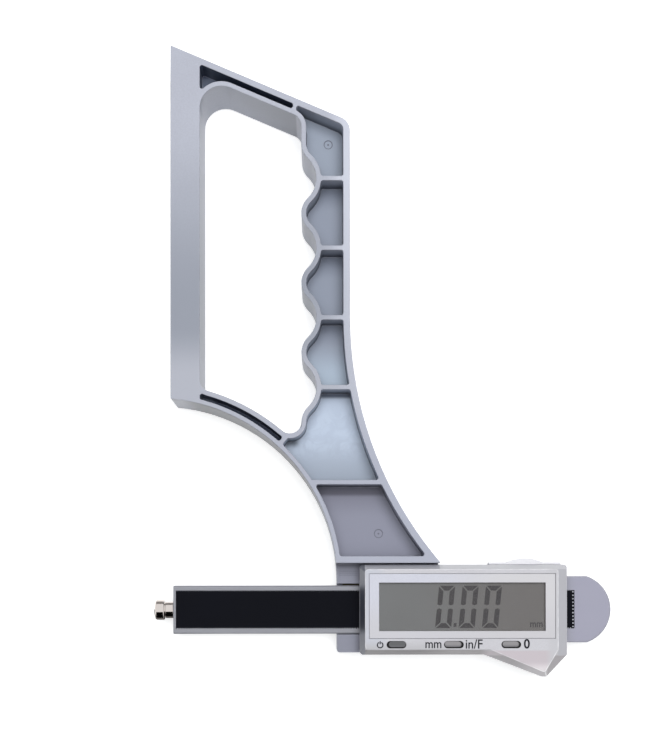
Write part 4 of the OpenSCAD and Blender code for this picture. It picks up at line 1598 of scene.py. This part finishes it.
@dataclass
class Readout:
    """What the display shows: three figures, the point and the unit sign.

    Attributes:
        shop: the frame's nodes and the finishes.
        print_z: levels between which the figures lie.
        lefts: X of the figures' left sides.
        low: Y of their lower ends.
        height: their height.
        width: their width.
        stroke: width of a bar.
        slant: how far they lean to the right, in degrees.
        mitre: gap between bars at a corner.
        waist: gap between upper and lower bars.
        tip: length of a bar's point at the waist.
        point_left: X of the point's left side.
        point_rise: its height above the figures' lower ends.
        point_size: its width and height.
        sign_middle: middle of the unit sign.
        sign_size: its width and height.
        sign_bold: how far its letters are thickened.
        sign_z: level of its back.
        sign_ink: its thickness.
    """

    shop: Workshop
    print_z: Pair = (22.08, 22.112)
    lefts: tuple[float, ...] = (85.7, 93.35, 100.95)
    low: float = -5.95
    height: float = 13.75
    width: float = 5.25
    stroke: float = 1.6
    slant: float = 5.7
    mitre: float = 0.26
    waist: float = 0.95
    tip: float = 0.35
    point_left: float = 91.65
    point_rise: float = 0.35
    point_size: Pair = (0.95, 1.25)
    sign_middle: Pair = (118.7, -4.95)
    sign_size: Pair = (4.1, 1.65)
    sign_bold: float = 0.02
    sign_z: float = 22.09
    sign_ink: float = 0.022

    def build(self) -> None:
        """Builds the figures, the point and the unit sign on the glass."""
        parts = []
        for left in self.lefts:
            parts += [self._raised(self._bars(), left), self._raised(self._uprights(), left)]
        parts.append(self._raised(self._point(), self.point_left))
        figures = Surface.joined(*parts).make("display_figures")
        self.shop.add(figures, Look.SEGMENT, Body.FRAME, Slot.DISPLAY)
        wide, tall = self.sign_size
        unit = Legend("display_unit", "mm", self.sign_middle, tall, wide, self.sign_bold)
        sign = unit.make(self.sign_z, self.sign_ink)
        self.shop.add(sign, Look.SEGMENT, Body.FRAME, Slot.DISPLAY)
        self.shop.dress(Look.DISPLAY, "lcd_glass")

    def _raised(self, flat: np.ndarray, left: float) -> Surface:
        """Leans outlines to the right as they rise, and raises them into plates.

        Formula: X gains Y times the tangent of the slant.

        Args:
            flat: array (plates, corners, 2), upright and from its own lower left corner.
            left: X of that corner.

        Returns:
            The plates.
        """
        leaned = flat.copy()
        leaned[..., 0] += left + flat[..., 1] * math.tan(math.radians(self.slant))
        leaned[..., 1] += self.low
        return prisms(leaned, *self.print_z)

    def _bars(self) -> np.ndarray:
        """The two level bars of a figure, whose ends are mitred.

        Returns:
            Array (2, 4, 2) of outlines.
        """
        w, h, t, g = self.width, self.height, self.stroke, self.mitre
        low = [[g, 0.0], [w - g, 0.0], [w - t - g, t], [t + g, t]]
        high = [[t + g, h - t], [w - t - g, h - t], [w - g, h], [g, h]]
        return np.array([low, high])

    def _uprights(self) -> np.ndarray:
        """The four upright bars of a figure, pointed at the waist.

        Formula: the lower left bar's outline, turned upside down for the upper one, and both
        mirrored for the right side.

        Returns:
            Array (4, 5, 2) of outlines.
        """
        w, h, t, g = self.width, self.height, self.stroke, self.mitre
        end = h / 2 - self.waist / 2
        side = end - self.tip
        low = np.array([[0.0, g], [t, t + g], [t, side], [t / 2, end], [0.0, side]])
        flipped = low * (1, -1) + (0, h)
        left = np.stack([low, flipped[::-1]])
        right = (left * (-1, 1) + (w, 0))[:, ::-1]
        return np.concatenate([left, right])

    def _point(self) -> np.ndarray:
        """The point, a plain rectangle.

        Returns:
            Array (1, 4, 2) with its outline.
        """
        w, h = self.point_size
        low, high = self.point_rise, self.point_rise + h
        return np.array([[[0.0, low], [w, low], [w, high], [0.0, high]]])


@dataclass
class Front:
    """The module's shells, window and buttons, and what is printed round them.

    Attributes:
        shop: the frame's nodes and the finishes.
        word_z: level of the words' backs, just inside the front.
        word_ink: their thickness.
        button_y: Y of the buttons' middles.
        buttons: each button's node, X of its middle, and to which side its face is set.
        face_lean: how far a face is set to the side and up.
        cap_rings: width, height, level and share of the lean of each ring of a cap.
        cap_points: points round a ring.
        inner_x: X between which the openings lie, whose edges stay sharp.
        inner_y: Y between which they lie.
        inner_z: level above which they lie.
        sign_z: levels between which the sign for on and off lies.
        sign_middle: its middle.
        sign_r: radius of its ring.
        sign_open: first and last angle of its ring, in degrees.
        sign_points: points along its ring.
        sign_line: width of its lines.
        stroke_rise: how far above the middle its stroke's middle lies.
        stroke: length of the stroke.
        legends: the words and figures.
    """

    shop: Workshop
    word_z: float = 23.995
    word_ink: float = 0.02
    button_y: float = -11.3
    buttons: tuple[tuple[str, float, float], ...] = (
        ("power_button", 73.1, 1.25), ("unit_button", 91.7, -1.1), ("zero_button", 110.3, -0.8),
    )
    face_lean: Pair = (0.42, 0.25)
    cap_rings: tuple[tuple[float, float, float, float], ...] = (
        (7.4, 2.7, 21.2, 0.0), (7.4, 2.7, 21.85, 0.0), (6.1, 2.1, 21.85, 0.0),
        (6.1, 2.1, 23.75, 0.0), (6.04, 2.06, 23.95, 0.05), (5.7, 1.9, 24.1, 0.3),
        (5.2, 1.75, 24.2, 0.7), (4.95, 1.65, 24.27, 1.0), (4.7, 1.4, 24.3, 1.0),
        (3.7, 0.4, 24.3, 1.0),
    )
    cap_points: int = 48
    inner_x: Pair = (63.6, 125.4)
    inner_y: Pair = (-13.2, 12.3)
    inner_z: float = 22.0
    sign_z: Pair = (23.995, 24.02)
    sign_middle: Pair = (67.8, -11.4)
    sign_r: float = 0.9
    sign_open: Pair = (114.0, 426.0)
    sign_points: int = 36
    sign_line: float = 0.38
    stroke_rise: float = 0.75
    stroke: float = 1.0
    legends: tuple[Legend, ...] = field(default_factory=lambda: (
        Legend("legend_mm", "mm", (85.05, -11.45), 1.95, 5.2),
        Legend("legend_units", "in/F", (98.25, -11.1), 3.05, 5.5),
        Legend("legend_zero", "0", (115.35, -11.05), 3.2, 1.95, 0.025),
    ))

    def build(self) -> None:
        """Builds the shells and the buttons, dresses what is inside, and prints the legends."""
        self.shop.soften("rear_shell", Look.CASE, 0.25)
        self.shop.soften("front_shell", Look.SILVER, 0.28, crease=25.0, leave=self._inner)
        self.shop.soften("bezel_plate", Look.BEZEL, 0.1)
        self.shop.dress(Look.LENS, "window_lens")
        self.shop.dress(Look.HOLDER, "lcd_holder")
        self.shop.dress(Look.SEAL, "zebra_strips", "button_seals", "case_gasket")
        self.shop.dress(Look.BOARD, "main_board", "sensor_board")
        self.shop.dress(Look.CHIP, "board_parts")
        self.shop.dress(Look.LINK, "board_link", "power_plunger", "unit_plunger", "zero_plunger")
        self.shop.dress(Look.STEEL, "tact_switches", "case_screws", "board_screws")
        self._caps()
        self._power_sign()
        for legend in self.legends:
            word = legend.make(self.word_z, self.word_ink)
            self.shop.add(word, Look.INK, Body.FRAME, Slot.STRIP)

    def _inner(self, points: np.ndarray) -> np.ndarray:
        """Says which points belong to the window's and the buttons' openings.

        Args:
            points: array (points, 3).

        Returns:
            True inside the openings' range.
        """
        x, y, z = points.T
        (left, right), (low, high) = self.inner_x, self.inner_y
        return (x > left) & (x < right) & (y > low) & (y < high) & (z > self.inner_z)

    def _caps(self) -> None:
        """The three buttons: a flange behind the front, a stem that the finish paints black as
        shade, and a face set to one side.

        Formula: each ring is an oblong of its own width, height and level, whose middle moves
        towards the side by its own share of the lean.
        """
        for name, x, side in self.buttons:
            lean = np.array([side * self.face_lean[0], self.face_lean[1]])
            middle = np.array([x, self.button_y])
            rings = []
            for width, height, level, share in self.cap_rings:
                ring = oblong(tuple(middle + share * lean), width, height, self.cap_points)
                rings.append(np.column_stack([ring, np.full(self.cap_points, level)]))
            cap = lofted(np.array(rings)).make(name + "_cap", smooth=True)
            self.shop.stand_for(cap, Look.BUTTON, name)

    def _power_sign(self) -> None:
        """The sign for on and off: an open ring with a short upright stroke in its gap."""
        path = arc(self.sign_middle, self.sign_r, *self.sign_open, self.sign_points)
        ring = ribbon(path, self.sign_line, *self.sign_z, False)
        x, y = self.sign_middle
        middle = np.array([[x, y + self.stroke_rise]])
        stroke = rectangles(middle, self.sign_line, self.stroke, *self.sign_z)
        sign = Surface.joined(ring, stroke).make("power_sign")
        self.shop.add(sign, Look.INK, Body.FRAME, Slot.STRIP)


@dataclass
class Battery:
    """The battery drawer and what it carries.

    Attributes:
        shop: the frame's nodes and the finishes.
    """

    shop: Workshop

    def build(self) -> None:
        """Builds the drawer's shell and dresses the cell, the seal and the contacts."""
        self.shop.soften("battery_tray", Look.DRAWER, 0.16)
        self.shop.dress(Look.SEAL, "battery_seal")
        self.shop.dress(Look.CELL, "coin_cell")
        self.shop.dress(Look.BRASS, "battery_contacts")


@dataclass
class Lamp:
    """A soft square lamp.

    Attributes:
        name: its name.
        place: its place in metres.
        size: its side in metres.
        power: its power in watts.
        colour: its colour.
        aim: the place that it is turned to.
    """

    name: str
    place: tuple[float, float, float]
    size: float
    power: float
    colour: Colour = (1.0, 1.0, 1.0)
    aim: tuple[float, float, float] = (0.0, 0.0, 0.0)

    def build(self) -> None:
        """Adds the lamp, turned from its place towards its aim, out of sight in mirrors."""
        light = bpy.data.lights.new(self.name, "AREA")
        light.shape = "SQUARE"
        light.size = self.size
        light.energy = self.power
        light.color = self.colour
        lamp = placed(self.name, light)
        lamp.location = self.place
        way = Vector(self.aim) - Vector(self.place)
        lamp.rotation_euler = way.to_track_quat("-Z", "Y").to_euler()
        lamp.visible_camera = False
        lamp.visible_glossy = False
        lamp.visible_transmission = False


@dataclass
class Card:
    """A card beside the contact point, which only its steel mirrors.

    Attributes:
        name: its name.
        shade: how pale it is.
        across: X of its two sides.
        start: Y and Z of its first edge.
        end: Y and Z of its last edge.
        warmth: its colour at a shade of 1.
    """

    name: str
    shade: float
    across: Pair
    start: Pair
    end: Pair
    warmth: Colour = (1.0, 0.96, 0.94)

    def build(self) -> None:
        """Adds the card, a rectangle from its first to its last edge."""
        left, right = self.across
        points = [(left, *self.start), (right, *self.start), (right, *self.end), (left, *self.end)]
        card = Surface(np.array(points), [ONE_FACE]).make(self.name)
        material, nodes, shader = new_material(self.name + "_look")
        tone = (*(self.shade * part for part in self.warmth), 1.0)
        nodes.feed(shader, {"Base Color": tone, "Roughness": 1.0, "Specular IOR Level": 0.0})
        card.data.materials.append(material)
        card.visible_camera = False
        card.visible_diffuse = False
        card.visible_shadow = False
        card.visible_transmission = False


@dataclass
class Studio:
    """The pale floor, the white surroundings and the lamps.

    Attributes:
        floor_half: half the floor's side in metres.
        floor_z: the floor's level in metres.
        floor_tones: the two near greys of the floor, in linear light.
        floor_scale: how close its clouds lie.
        floor_rough: its roughness.
        glow: strength of the white that it shows near the gauge and far from it.
        glow_reach: distances in metres between which that rises.
        sky: strength of the light from all round.
        cards: the cards beside the contact point.
        lamps: the lamps.
    """

    floor_half: float = 3.0
    floor_z: float = -0.0002
    floor_tones: tuple[Colour, Colour] = ((0.8, 0.8, 0.8), (0.784, 0.8, 0.8))
    floor_scale: float = 3.0
    floor_rough: float = 0.9
    glow: Pair = (0.6, 0.9)
    glow_reach: Pair = (0.3, 1.0)
    sky: float = 0.2
    cards: tuple[Card, ...] = field(default_factory=lambda: (
        Card("black_card", 0.004, (-35.0, 8.0), (-34.0, 0.2), (-34.0, 80.0)),
        # The grey card is painted shade: the steel mirrors it as the shaded floor under the contact
        # point.
        Card("grey_card", 0.2, (-35.0, 8.0), (-34.0, 0.1), (0.0, 0.1)),
        Card("back_card", 0.7, (-35.0, -1.0), (34.0, 0.2), (34.0, 24.0)),
    ))
    lamps: tuple[Lamp, ...] = field(default_factory=lambda: (
        Lamp("key", (0.06, 0.12, 1.1), 0.6, 8.5),
        Lamp("fill", (0.1, -0.15, 1.15), 0.9, 2.8, (0.98, 0.99, 1.0)),
    ))

    def build(self) -> None:
        """Builds the floor, the world, the cards and the lamps, and sets the plain view."""
        bpy.context.scene.view_settings.view_transform = "Standard"
        self._floor()
        self._world()
        for part in (*self.cards, *self.lamps):
            part.build()

    def _seen(self, nodes: Nodes) -> Socket:
        """A mask of the rays that see the background: from the camera, a reflection or glass.

        Rays that a surface has already scattered don't count: they only bring light.

        Args:
            nodes: calls for the nodes that use the mask.

        Returns:
            The mask.
        """
        path = nodes.add("ShaderNodeLightPath").outputs
        mirrored = nodes.sums("MAXIMUM", path["Is Glossy Ray"], path["Is Transmission Ray"])
        seen = nodes.sums("MAXIMUM", path["Is Camera Ray"], mirrored)
        return nodes.sums("MULTIPLY", seen, nodes.sums("LESS_THAN", path["Diffuse Depth"], 0.5))

    def _floor(self) -> None:
        """A wide level floor, a grid of four corners, that looks white and keeps the shadow."""
        levels = np.full((len(CORNERS), 1), self.floor_z)
        points = in_drawing(np.concatenate([CORNERS * self.floor_half, levels], 1))
        floor = Surface(points, [ONE_FACE]).make("floor")
        material, nodes, shader = new_material("floor_look")
        place = nodes.add("ShaderNodeTexCoord").outputs["Object"]
        first, second = ((*tone, 1.0) for tone in self.floor_tones)
        away = nodes.add("ShaderNodeVectorMath", {0: place}, operation="LENGTH").outputs["Value"]
        glow = nodes.stretch(away, *self.glow_reach, *self.glow)
        nodes.feed(shader, {
            "Base Color": nodes.mix(nodes.noise(place, self.floor_scale), first, second),
            "Roughness": self.floor_rough, "Specular IOR Level": 0.0, "Emission Color": WHITE,
            "Emission Strength": nodes.sums("MULTIPLY", self._seen(nodes), glow),
        })
        floor.data.materials.append(material)

    def _world(self) -> None:
        """White where it is seen, and a softer white for what it lights.

        Light reaches the display through the lens once, as a shadow ray. So the rays that leave the
        display through the lens bring nothing more.
        """
        world = bpy.data.worlds.new("studio")
        world.use_nodes = True
        nodes = Nodes(world.node_tree)
        through = nodes.add("ShaderNodeLightPath").outputs["Is Transmission Ray"]
        light = nodes.sums("MULTIPLY", nodes.sums("SUBTRACT", 1.0, through), self.sky)
        strength = nodes.sums("MAXIMUM", light, self._seen(nodes))
        nodes.feed(nodes.tree.nodes["Background"], {"Color": WHITE, "Strength": strength})
        bpy.context.scene.world = world


@dataclass
class PhotoCamera:
    """The camera at the photograph's place: nearly straight above the gauge's lower end.

    Attributes:
        place: its place in metres.
        turn: its turn about X, Y and Z in degrees.
        lens: its focal length in millimetres.
        sensor: its sensor's width in millimetres.
        shift: its upward shift, as a share of the picture's longer side.
        nearest: distance in metres from which it sees.
    """

    place: tuple[float, float, float] = (-0.02039, -0.07612, 0.51601)
    turn: tuple[float, float, float] = (0.576, -0.567, -0.066)
    lens: float = 73.553
    sensor: float = 36.0
    shift: float = 0.28
    nearest: float = 0.01

    def build(self) -> None:
        """Adds the camera and makes it the scene's own."""
        data = bpy.data.cameras.new("photo_camera")
        data.lens = self.lens
        data.sensor_width = self.sensor
        data.shift_y = self.shift
        data.clip_start = self.nearest
        camera = placed("photo_camera", data)
        camera.location = self.place
        camera.rotation_euler = Euler([math.radians(angle) for angle in self.turn])
        bpy.context.scene.camera = camera


def main() -> None:
    """Builds the gauge in the order of its sub-assemblies, then its studio."""
    logging.basicConfig(level=logging.INFO, format="%(message)s")
    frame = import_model()
    PhotoCamera().build()
    shop = Workshop(frame["nodes"], Palette())
    for part in (Handle(shop), Slide(shop), Readout(shop), Front(shop), Battery(shop), Studio()):
        part.build()
        LOG.info("%s done", type(part).__name__)


if __name__ == "__main__":
    main()
